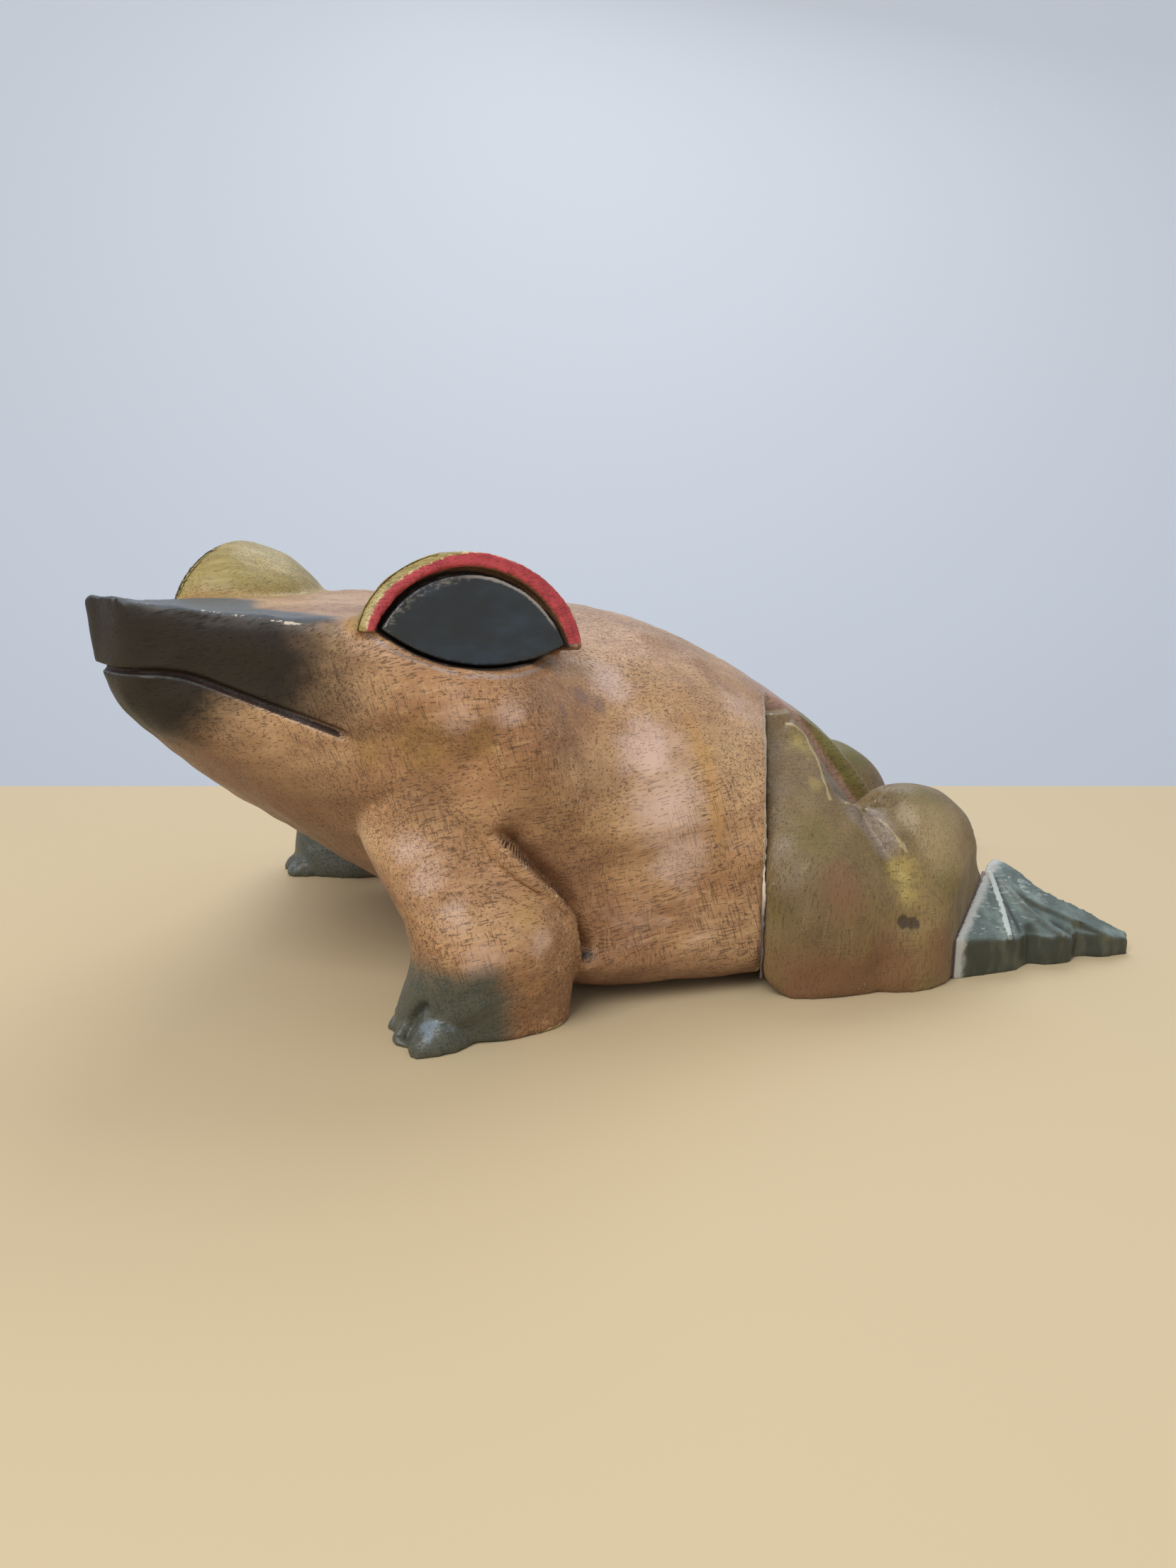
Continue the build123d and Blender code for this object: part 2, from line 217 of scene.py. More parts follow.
# Cells of a new skin laid back on the CAD's own surface, everywhere or where they are chosen
def settle(mesh, tree, chosen=True):
    points = readPoints(mesh)
    for index in np.flatnonzero(np.broadcast_to(chosen, len(points))):
        points[index] = tree.find_nearest(Vector(points[index]))[0]
    writePoints(mesh, points)


# The way out of the camera through a pixel of the 1659 x 2212 photograph, and what it meets on a piece
def viewRay(x, y):
    across = (x - view["width"] / 2) / view["focal"]
    rise = (view["height"] / 2 - y) / view["focal"]
    return unit(viewForward + viewRight * across + viewUp * rise)


def seenAt(tree, x, y):
    hit = tree.ray_cast(Vector(view["eye"]), Vector(viewRay(x, y)))
    return None if hit[0] is None else np.array(hit[0])


def seenPath(tree, pixels):
    found = [seenAt(tree, x, y) for x, y in pixels]
    return np.array([place for place in found if place is not None])


# Distance of each point from a path, the share along the path, the foot on it and the path's heading there
def nearestOn(points, path):
    nearest, along = np.full(len(points), 1e9), np.zeros(len(points))
    foot, heading = np.zeros_like(points), np.zeros_like(points)
    lengths = np.linalg.norm(np.diff(path, axis=0), axis=1)
    starts = np.concatenate([[0], np.cumsum(lengths)])
    for index, length in enumerate(lengths):
        run = path[index + 1] - path[index]
        share = np.clip((points - path[index]) @ run / length ** 2, 0, 1)
        place = path[index] + share[:, None] * run
        distance = np.linalg.norm(points - place, axis=1)
        closer = distance < nearest
        nearest[closer], foot[closer], heading[closer] = distance[closer], place[closer], run / length
        along[closer] = (starts[index] + share[closer] * length) / starts[-1]
    return nearest, along, foot, heading


def fromPath(points, path):
    return nearestOn(points, path)[:2]


# Which side of a path each point is on: positive on the side of a probe
def sideOf(points, normals, foot, heading, probe):
    side = (np.cross(heading, normals) * (points - foot)).sum(1)
    return side * np.sign(side[np.argmin(np.linalg.norm(points - probe, axis=1))])


def tapered(along, inShare=0.2, outShare=0.2):
    return ramp(along, 0, inShare) * ramp(1 - along, 0, outShare)


# Two shapes of a cut or a lift across its path: round, and sharp in the middle
def bump(away, reach):
    return np.exp(-(away / reach) ** 2)


def ridge(away, reach):
    return np.clip(1 - away / reach, 0, 1)


# Soft round patches: a place in the photograph, a reach in millimetres and a share for each spot
def spotsOn(tree, marks):
    return [(seenAt(tree, x, y), reach, share) for x, y, reach, share in marks]


def patch(points, spots, low=1):
    return np.max([share * bump(np.linalg.norm(points - place * low, axis=1), reach)
                   for place, reach, share in spots], axis=0)


def setMasks(mesh, **masks):
    for name, values in masks.items():
        layer = mesh.attributes.new(name, "FLOAT", "POINT")
        layer.data.foreach_set("value", np.asarray(values, np.float32))


# How proud (positive) or hollow (negative) the surface is round each point, in shares of a sharp edge
def convexity(mesh, edges, steps):
    points = pulled = readPoints(mesh)
    for step in range(steps):
        pulled = average(edges, pulled)
    reach = np.linalg.norm(points[edges[:, 0]] - points[edges[:, 1]], axis=1).mean() * steps ** 0.5
    return ((points - pulled) * readNormals(mesh)).sum(1) / reach


def shade(piece, material):
    piece.data.materials.clear()
    piece.data.materials.append(material)
    piece.data.shade_smooth()


# A finished piece gets its material and rides the frog's one body, with the CAD node that it stands for
def finishPiece(piece, material, node=None):
    shade(piece, material)
    if node:
        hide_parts(node)
    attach(piece, "root")
    print(piece.name, "done,", len(piece.data.polygons), "faces")


print("camera and carving tools ready")


# Tools for materials add their nodes to the tree on the bench, and read places in millimetres
bench = {}


def tint(code):
    values = [int(code[place:place + 2], 16) / 255 for place in (0, 2, 4)]
    return [v / 12.92 if v <= 0.04045 else ((v + 0.055) / 1.055) ** 2.4 for v in values] + [1.0]


def give(socket, value):
    if isinstance(value, bpy.types.NodeSocket):
        bench["tree"].links.new(value, socket)
    elif value is not None:
        socket.default_value = value


def add(kind, inputs=None, **settings):
    made = bench["tree"].nodes.new(kind)
    for name, value in settings.items():
        setattr(made, name, value)
    for name, value in (inputs or {}).items():
        give(made.inputs[name], value)
    return made


def calc(operation, *values):
    return add("ShaderNodeMath", dict(enumerate(values)), operation=operation).outputs[0]


def plus(first, second):
    return calc("ADD", first, second)


def minus(first, second):
    return calc("SUBTRACT", first, second)


def times(first, *others):
    for other in others:
        first = calc("MULTIPLY", first, other)
    return first


# A noise turned into a push to either side of nothing
def sway(value, size):
    return times(minus(value, 0.5), size)


def between(value, low, high, fromSize=0.0, toSize=1.0):
    inputs = dict(enumerate((value, low, high, fromSize, toSize)))
    return add("ShaderNodeMapRange", inputs, interpolation_type="SMOOTHSTEP").outputs["Result"]


def mix(share, first, second):
    return add("ShaderNodeMix", {"Factor": share, 6: first, 7: second}, data_type="RGBA").outputs[2]


# A coat over the colour laid so far: a tone of the piece's own paint, or one mixed for the place
def lay(share, tone):
    bench["color"] = mix(share, bench["color"], bench["paint"][tone] if isinstance(tone, str) else tone)


def vectorOf(operation, first, second=None, third=None):
    return add("ShaderNodeVectorMath", {0: first, 1: second, 2: third}, operation=operation).outputs[0]


def turnedPlace(turned, place=None):
    inputs = {"Vector": place or bench["place"], "Rotation": [radians(angle) for angle in turned]}
    return add("ShaderNodeMapping", inputs).outputs[0]


def noise(size, stretch=(1, 1, 1), detail=2.0, rough=0.5, turned=(0, 0, 0), place=None):
    scaled = vectorOf("MULTIPLY", turnedPlace(turned, place), [share / size for share in stretch])
    inputs = {"Vector": scaled, "Scale": 1.0, "Detail": detail, "Roughness": rough}
    return add("ShaderNodeTexNoise", inputs).outputs["Fac"]


def mask(name):
    return add("ShaderNodeAttribute", attribute_name=name).outputs["Fac"]


def upwardness():
    return add("ShaderNodeSeparateXYZ", {0: add("ShaderNodeNewGeometry").outputs["Normal"]}).outputs["Z"]


def openSockets(group, side, sockets):
    for label, kind, value in sockets:
        socket = group.interface.new_socket(label, in_out=side, socket_type="NodeSocket" + kind)
        if value is not None:
            socket.default_value = value


def newGroup(name, kind, inputs, outputs):
    group = bench["tree"] = bpy.data.node_groups.new(name, kind)
    openSockets(group, "INPUT", inputs)
    openSockets(group, "OUTPUT", outputs)
    return group, group.nodes.new("NodeGroupInput").outputs, group.nodes.new("NodeGroupOutput").inputs


# Stained open-pored wood. The vector is in millimetres with the fibres along X.
def makeWood():
    wood, given, made = newGroup("stainedWood", "ShaderNodeTree", [
        ("Vector", "Vector", None), ("Light", "Color", tint("c08a58")), ("Middle", "Color", tint("a56e4b")),
        ("Dark", "Color", tint("7a4d30")), ("Pore", "Color", tint("3a2418")), ("Pore Amount", "Float", 1.0),
        ("Scratch Amount", "Float", 1.0), ("Figure", "Float", 1.0),
    ], [("Color", "Color", None), ("Height", "Float", None), ("Dull", "Float", None)])
    straight = given["Vector"]
    drift = add("ShaderNodeTexNoise", {"Vector": straight, "Scale": 0.018, "Detail": 1.0}).outputs["Color"]
    centred = vectorOf("SUBTRACT", drift, (0.5, 0.5, 0.5))
    bench["place"] = vectorOf("MULTIPLY_ADD", centred, (7, 9, 9), straight)
    bench.update(paint=given, color=given["Middle"])
    lay(between(noise(42, (0.45, 1, 1), 2, 0.55), 0.36, 0.64), "Light")
    # darker clouds and growth rings, the fibres, and the gleam between them
    fibre = noise(0.9, (0.05, 1, 1), 3, 0.6)
    for shown, amount, tone in (
        (between(noise(27, (0.4, 1, 1), 3, 0.6, (0, 0, 40)), 0.48, 0.74, 0.0, 0.75), given["Figure"], "Dark"),
        (between(noise(7, (0.05, 1, 1), 2, 0.5), 0.40, 0.62, 0.0, 0.30), given["Figure"], "Dark"),
        (between(fibre, 0.30, 0.72, 0.0, 0.34), 1.0, "Dark"),
        (between(noise(1.3, (0.08, 1, 1), 2, 0.5, (0, 0, 3)), 0.52, 0.75, 0.0, 0.42), 1.0, "Light"),
    ):
        lay(times(shown, amount), tone)
    # pores are short dark dashes, denser in some places
    lowEdge = between(noise(18, (0.6, 1, 1), 1, place=straight), 0.35, 0.65, 0.640, 0.580)
    pores = between(noise(0.42, (0.14, 1, 1), 1.0), lowEdge, plus(lowEdge, 0.07))
    pores = times(pores, given["Pore Amount"])
    # longer dark dashes in rows, where the cut runs nearly along the fibres
    rowPatch = between(noise(24, (0.7, 1, 1), 1, 0.5, (30, 0, 0), straight), 0.46, 0.60)
    rows = between(noise(0.6, (0.09, 1, 1), 1.0, 0.5, (0, 0, 2)), 0.63, 0.70)
    rows = times(rows, rowPatch, given["Pore Amount"])
    # scratches of the rasp, nearly across the fibres
    raspPatch = between(noise(30, (1, 1, 1), 2, place=straight), 0.38, 0.54)
    rasp = between(noise(0.38, (1, 1, 0.04), 1.0, 0.5, (4, 7, 0), straight), 0.59, 0.68)
    rasp = times(rasp, raspPatch, given["Scratch Amount"])
    scuff = between(noise(0.6, (1, 1, 0.05), 1.5, 0.5, (-6, -10, 20), straight), 0.60, 0.70, 0.0, 0.35)
    for shown, amount, tone in ((pores, 0.52, "Pore"), (rows, 0.62, "Pore"), (rasp, 0.42, "Pore"),
                                (scuff, given["Scratch Amount"], "Light")):
        lay(times(shown, amount), tone)
    give(made["Color"], bench["color"])
    give(made["Height"], minus(minus(times(fibre, 0.25), pores), times(rasp, 0.5)))
    give(made["Dull"], plus(times(pores, 0.25), times(fibre, 0.12)))
    return wood


# Worn edges: a mask that the finish is rubbed off where the surface stands proud
def makeWear():
    worn, given, made = newGroup("rubbedEdge", "ShaderNodeTree", [
        ("Vector", "Vector", None), ("Edge", "Float", 0.0), ("Amount", "Float", 1.0),
        ("Grain Size", "Float", 2.0),
    ], [("Mask", "Float", None)])
    scaled = add("ShaderNodeVectorMath", {0: given["Vector"]}, operation="SCALE")
    give(scaled.inputs["Scale"], calc("DIVIDE", 1.0, given["Grain Size"]))
    inputs = {"Vector": scaled.outputs[0], "Scale": 1.0, "Detail": 3.0, "Roughness": 0.65}
    rough = add("ShaderNodeTexNoise", inputs).outputs["Fac"]
    wanted = times(given["Edge"], given["Amount"])
    shown = between(plus(wanted, sway(rough, 1.5)), 0.42, 0.62)
    give(made["Mask"], times(shown, between(wanted, 0.02, 0.15)))
    return worn


woodGroup = makeWood()
wearGroup = makeWear()


def newMaterial(name, codes):
    material = bench["material"] = bpy.data.materials.new(name)
    material.use_nodes = True
    bench["tree"] = material.node_tree
    bench["tree"].nodes.clear()
    place = add("ShaderNodeTexCoord").outputs["Object"]
    bench["place"] = add("ShaderNodeMapping", {"Vector": place, "Scale": (1000, 1000, 1000)}).outputs[0]
    bench["paint"] = {tone: tint(code) for tone, code in codes.items()}
    return bench["paint"]


def grained(turned, pores, scratches, figure):
    inputs = {name.title(): bench["paint"][name] for name in ("light", "middle", "dark", "pore")}
    inputs.update({"Vector": turnedPlace(turned), "Figure": figure})
    inputs.update({"Pore Amount": pores, "Scratch Amount": scratches})
    wood = add("ShaderNodeGroup", inputs, node_tree=woodGroup).outputs
    bench["color"] = wood["Color"]
    return wood


# How far the finish is rubbed off the places of a mask
def rubbed(name, amount, size):
    inputs = {"Vector": bench["place"], "Edge": mask(name), "Amount": amount, "Grain Size": size}
    return add("ShaderNodeGroup", inputs, node_tree=wearGroup).outputs["Mask"]


# A mask with a frayed edge, and coats of paint laid on with such edges
def frayed(name, by, low, high, most=1.0, least=0.12):
    shown = between(plus(mask(name), by), low, high, 0.0, most)
    return times(shown, between(mask(name), 0.02, least))


def layFrayed(coats, least=0.12):
    for name, tone, by, low, high, most in coats:
        lay(frayed(name, by, low, high, most, least), tone)


def finishWith(roughness, height=None, depth=0.3, coat=0.0, coatRoughness=0.2, specular=0.5):
    skin = add("ShaderNodeBsdfPrincipled", {
        "Base Color": bench["color"], "Roughness": roughness, "Coat Weight": coat,
        "Coat Roughness": coatRoughness, "Specular IOR Level": specular,
    })
    if height is not None:
        bumps = add("ShaderNodeBump", {"Height": height, "Distance": depth * mm, "Strength": 1.0})
        give(skin.inputs["Normal"], bumps.outputs[0])
    give(add("ShaderNodeOutputMaterial").inputs["Surface"], skin.outputs[0])
    return bench["material"]


# Head, trunk and forelegs
bodyLook = dict(
    voxel=1.5, chisel=0.22, chiselSize=16.0, fineMouth=3.5, fineFace=6.0, fineCut=4.5,
    softening=3, closing=30, tipSoftening=14, browSoftening=16,
)
turn = radians(plan["headTurn"])
headForward = np.array((-cos(turn), -sin(turn), 0))
headLeft = np.array((sin(turn), -cos(turn), 0))
headMiddle = np.array((plan["headX"], plan["headY"], 0))
flare = radians(plan["headTurn"] - plan["faceFlare"])
faceLean = radians(plan["faceLean"])
faceBack = np.array((cos(flare), sin(flare), 0))
faceOut = np.array((sin(flare) * cos(faceLean), -cos(flare) * cos(faceLean), sin(faceLean)))
faceUp = np.cross(faceOut, faceBack)
faceMiddle = headMiddle + headLeft * plan["browSpacing"] + np.array((0, 0, plan["eyeHeight"]))


# Points as (ahead, left, up) of the head's middle
def inHead(points):
    away = points - headMiddle
    return np.stack([away @ headForward, away @ headLeft, away[:, 2]], 1)


# Points as (back, up, out) on the face of the left eye; those right of the head's middle are mirrored
def onFace(points):
    left = (points - headMiddle) @ headLeft
    mirrored = np.where((left < 0)[:, None], points - 2 * left[:, None] * headLeft, points)
    away = mirrored - faceMiddle
    return np.stack([away @ faceBack, away @ faceUp, away @ faceOut], 1)


# The way out of the eye face, on either side of the head
def faceNormal(points):
    left = (points - headMiddle) @ headLeft
    mirrored = faceOut - 2 * (faceOut @ headLeft) * headLeft
    return np.where((left < 0)[:, None], mirrored, faceOut)


# The brow's outline on the face, as a share of the way out from its middle (1 is its edge)
def browShare(place):
    back = place[:, 0] + brow["advance"]
    up = place[:, 1] + brow["drop"]
    tilt = radians(brow["tilt"])
    along = back * cos(tilt) - up * sin(tilt)
    across = back * sin(tilt) + up * cos(tilt)
    return along / brow["halfLength"], across / brow["rise"]


# How far outside the almond of the eye a place on the face lies, in millimetres
def fromAlmond(place):
    back, up = place[:, 0], place[:, 1]
    distances = []
    for height in (eye["rise"], -eye["sink"]):
        a = np.array((-eye["front"], 0.0))
        b = np.array((eye["rear"], -eye["rearDrop"]))
        c = np.array((0.0, height))
        # circle through the two corners and the arc's middle
        d = 2 * (a[0] * (b[1] - c[1]) + b[0] * (c[1] - a[1]) + c[0] * (a[1] - b[1]))
        x = ((a @ a) * (b[1] - c[1]) + (b @ b) * (c[1] - a[1]) + (c @ c) * (a[1] - b[1])) / d
        y = ((a @ a) * (c[0] - b[0]) + (b @ b) * (a[0] - c[0]) + (c @ c) * (b[0] - a[0])) / d
        radius = np.hypot(a[0] - x, a[1] - y)
        distances.append(np.hypot(back - x, up - y) - radius)
    return np.maximum(*distances)


brow = dict(
    advance=1.5, drop=7.0, tilt=7.0, halfLength=30.0, rise=25.5, depth=33.0, rounding=1.7, inset=1.9, rim=3.8,
)
eye = dict(front=24.6, rear=23.2, rise=12.5, sink=10.3, rearDrop=6.0)
mouth = dict(
    front=98.5, corner=83.0, cornerReach=30.0, bendReach=58.0, bendRadius=24.0,
    depth=2.6, halfGap=1.5, setIn=0.9,
)
armpit = dict(scoop=3.8, scoopReach=9.0, slit=3.4, slitReach=2.6, depth=7.2, proud=2.0)


# Height of the mouth line at a reach ahead of the head's middle: level, a short arc, then straight
def mouthHeight(ahead):
    steep = np.arctan2(mouth["front"] - mouth["corner"], mouth["bendReach"] - mouth["cornerReach"])
    radius = mouth["bendRadius"]
    arcStart = mouth["bendReach"] + radius * np.tan(steep / 2)
    run = radius * np.sin(steep)
    back = np.clip(arcStart - ahead, 0, run)
    fallen = radius - np.sqrt(radius ** 2 - back ** 2) + np.maximum(arcStart - run - ahead, 0) * np.tan(steep)
    return mouth["front"] - fallen, back / np.sqrt(radius ** 2 - back ** 2)


def fromMouth(head):
    height, slope = mouthHeight(head[:, 0])
    short = np.maximum(mouth["cornerReach"] - head[:, 0], 0)
    return np.hypot((head[:, 2] - height) / np.sqrt(1 + slope ** 2), short), head[:, 2] - height


# Paths on the near side, in pixels of the photograph, and places that tell one side of a path from the other
bodyPaths = dict(
    armpit=[(686, 1171), (721, 1195), (761, 1230), (791, 1257), (812, 1283), (821, 1318), (826, 1366)],
    neck=[(742, 990), (712, 1028), (680, 1060), (655, 1094), (640, 1118)],
    cheek=[(470, 1008), (560, 1006), (650, 1004), (720, 996), (775, 975)],
    toe=[(606, 1414), (588, 1432), (574, 1447), (568, 1471)],
    knuckle=[(700, 1406), (665, 1428), (627, 1452), (610, 1464)],
    nick=[(566, 1196), (580, 1184)],
    arris=[(131, 846), (180, 850), (250, 857), (330, 868), (400, 878), (445, 883)],
    jaw=[(290, 975), (350, 992), (420, 1016), (445, 1027)],
    gold=[(950, 985), (978, 1030), (1000, 1085), (1012, 1150), (1010, 1220)],
    facetShade=[(705, 1168), (770, 1200), (830, 1248), (862, 1300), (868, 1350)],
    armRidge=[(700, 1195), (728, 1232), (745, 1275), (770, 1310), (792, 1345)],
)
flankSide, humpSide, humpLine = (850, 1230), (1180, 1068), [(1139, 1027), (1202, 1120)]


# Distance from the armpit's path, the share along it, and a side that is positive on the flank
def fromArmpit(points, normals, paths, tree):
    away, along, foot, heading = nearestOn(points, paths["armpit"])
    return away, along, sideOf(points, normals, foot, heading, seenAt(tree, *flankSide))


def carveBody():
    solid = rayTree(nodes["body_block"].data)
    piece = skinOver("body_block", "carved_body", bodyLook["voxel"])
    mesh = piece.data
    tree = rayTree(mesh)
    paths = {name: seenPath(tree, marks) for name, marks in bodyPaths.items()}

    # finer cells round the mouth, the eyes and the cuts
    points = readPoints(mesh)
    face = onFace(points)
    fine = fromMouth(inHead(points))[0] < bodyLook["fineMouth"]
    fine |= (np.abs(face[:, 2]) < bodyLook["fineFace"]) & (np.hypot(*browShare(face)) < 1.12)
    for name in ("armpit", "toe", "knuckle", "nick", "arris", "armRidge"):
        fine |= fromPath(points, paths[name])[0] < bodyLook["fineCut"]
    refine(piece, fine)
    settle(mesh, solid)
    face = onFace(readPoints(mesh))
    share = np.hypot(*browShare(face))
    refine(piece, (np.abs(face[:, 2]) < 2.5) & (share > 0.86) & (share < 1.08) & (face[:, 1] > -10))
    face = onFace(readPoints(mesh))
    settle(mesh, solid, np.abs(face[:, 2]) < 4)
    points, edges = readMesh(mesh)

    # close the sawn groove, then soften the whole block
    points = smooth(points, edges, bodyLook["closing"], ramp(fromMouth(inHead(points))[0], 5, 3))
    writePoints(mesh, points)
    refine(piece, fromMouth(inHead(points))[0] < 2.6)
    points, edges = readMesh(mesh)
    points = smooth(points, edges, 4, ramp(fromMouth(inHead(points))[0], 4, 3))
    head, face = inHead(points), onFace(points)
    points = smooth(points, edges, bodyLook["softening"], keepSize=True)
    snoutTip = ramp(head[:, 0], 58, 66) * ramp(np.abs(head[:, 2] - 104), 16, 6)
    points = smooth(points, edges, bodyLook["tipSoftening"], snoutTip)
    browAcross = np.hypot(*browShare(face))
    junction = (face[:, 2] < -2) * ramp(np.abs(face[:, 1] + 2), 9, 3) * ramp(browAcross, 1.3, 1.0)
    points = smooth(points, edges, bodyLook["browSoftening"], junction)
    writePoints(mesh, points)
    normals = readNormals(mesh)
    head, face = inHead(points), onFace(points)

    # the tool leaves shallow facets everywhere but on the sawn face of the eye
    calm = 1 - ramp(np.abs(face[:, 2]), 3, 1) * ramp(browAcross, 1.2, 1.05)
    waves = ripple(points, bodyLook["chiselSize"], 4) + 0.5 * ripple(points, bodyLook["chiselSize"] / 2, 5)
    points = pushed(points, normals, waves * bodyLook["chisel"] * calm)

    # mouth: a V cut with the lower jaw set in behind the upper one
    mouthAway, above = fromMouth(inHead(points))
    cut = mouth["depth"] * ridge(mouthAway, mouth["halfGap"])
    setIn = mouth["setIn"] * ramp(above, 0, -1) * ramp(above, -14, -1) * ramp(head[:, 0], 30, 44)
    points = pushed(points, normals, -cut - setIn)

    # armpit: steep on the arm's side, scooped out on the flank's side
    away, along, side = fromArmpit(points, normals, paths, tree)
    flankCut = armpit["scoop"] * np.exp(-(away / armpit["scoopReach"]) ** 1.5)
    flankCut += armpit["slit"] * bump(away, armpit["slitReach"])
    armCut = armpit["depth"] * ridge(away, 1.1)
    cut = np.where(side > 0, flankCut, armCut) * tapered(along, 0.18, 0.10)
    proud = armpit["proud"] * tapered(along, 0.4, 0.3) * (side < 0) * bump(away - 3.2, 3.0)
    points = pushed(points, normals, proud - cut)

    # neck crease, cheek fold, toe cut and knuckle edge
    for name, depth, reach, outShare in (
        ("neck", 0.8, 3.2, 0.35), ("cheek", -0.9, 6.0, 0.35), ("toe", 2.4, 1.5, 0.01),
        ("nick", 0.5, 0.8, 0.35),
    ):
        away, along = fromPath(points, paths[name])
        points = pushed(points, normals, -depth * tapered(along, 0.25, outShare) * bump(away, reach))
    for name, height, reach in (("knuckle", 1.0, 4.5), ("arris", 0.3, 2.5), ("armRidge", 0.8, 5.0)):
        away, along = fromPath(points, paths[name])
        points = pushed(points, normals, height * tapered(along) * ridge(away, reach))
    # the front edge of the brow is rounded over toward the snout
    along, across = browShare(face)
    rimIn = (1 - np.hypot(along, across)) * brow["rise"]
    overFront = ramp(along, 0, -0.6) * (across > -0.05) * (np.abs(face[:, 2]) < 1.2) * (fromAlmond(face) > 0)
    rounding = brow["rounding"] * ridge(rimIn, 3.2) ** 2
    points = pushed(points, faceNormal(points), -rounding * overFront)
    points[:, 2] = np.maximum(points[:, 2], 0)
    writePoints(mesh, points)
    paintBody(mesh, edges, points, paths, tree)
    return piece


bodyPatches = dict(
    sanded=[(600, 1050, 12, 1), (520, 1060, 9, 0.8), (460, 900, 8, 0.9), (680, 1050, 8, 0.9),
            (1000, 1060, 9, 0.7), (760, 1395, 9, 0.6), (740, 1290, 8, 0.8), (930, 1340, 14, 0.5)],
    # rosy: painted sheen on the flank, under the eye and on the foreleg, with some pinkish tint
    rosyTintAndSheen=[(860, 960, 9, 0.9), (915, 1060, 13, 0.9), (940, 1140, 13, 1), (960, 1210, 12, 0.8),
          (640, 1008, 8, 0.6), (720, 1003, 7, 0.7), (575, 1200, 7, 0.7), (600, 1240, 8, 0.6),
          (640, 1290, 8, 0.6), (680, 1360, 8, 0.7), (760, 1330, 6, 0.6), (1050, 1000, 14, 0.6),
          (900, 1300, 16, 0.45), (985, 1335, 12, 0.4), (1040, 1200, 10, 0.35)],
    # shaded: painted shade on the cheek, throat, neck and foreleg
    shaded=[(420, 950, 9, 0.8), (480, 1085, 14, 0.6), (600, 1110, 13, 0.7), (640, 1180, 10, 0.5),
            (560, 1180, 10, 0.6), (660, 1380, 9, 0.4)],
    stain=[(820, 982, 4.5, 0.9), (843, 994, 4.0, 0.8), (795, 1003, 3.5, 0.7)],
)
# The dark front toes: a middle on the ground, the angle they point at, the slope of the fade and its reach
handPaint = (((-48, -56), 4, 0.1, 13), ((-78, 102), -14, 0.62, 19))


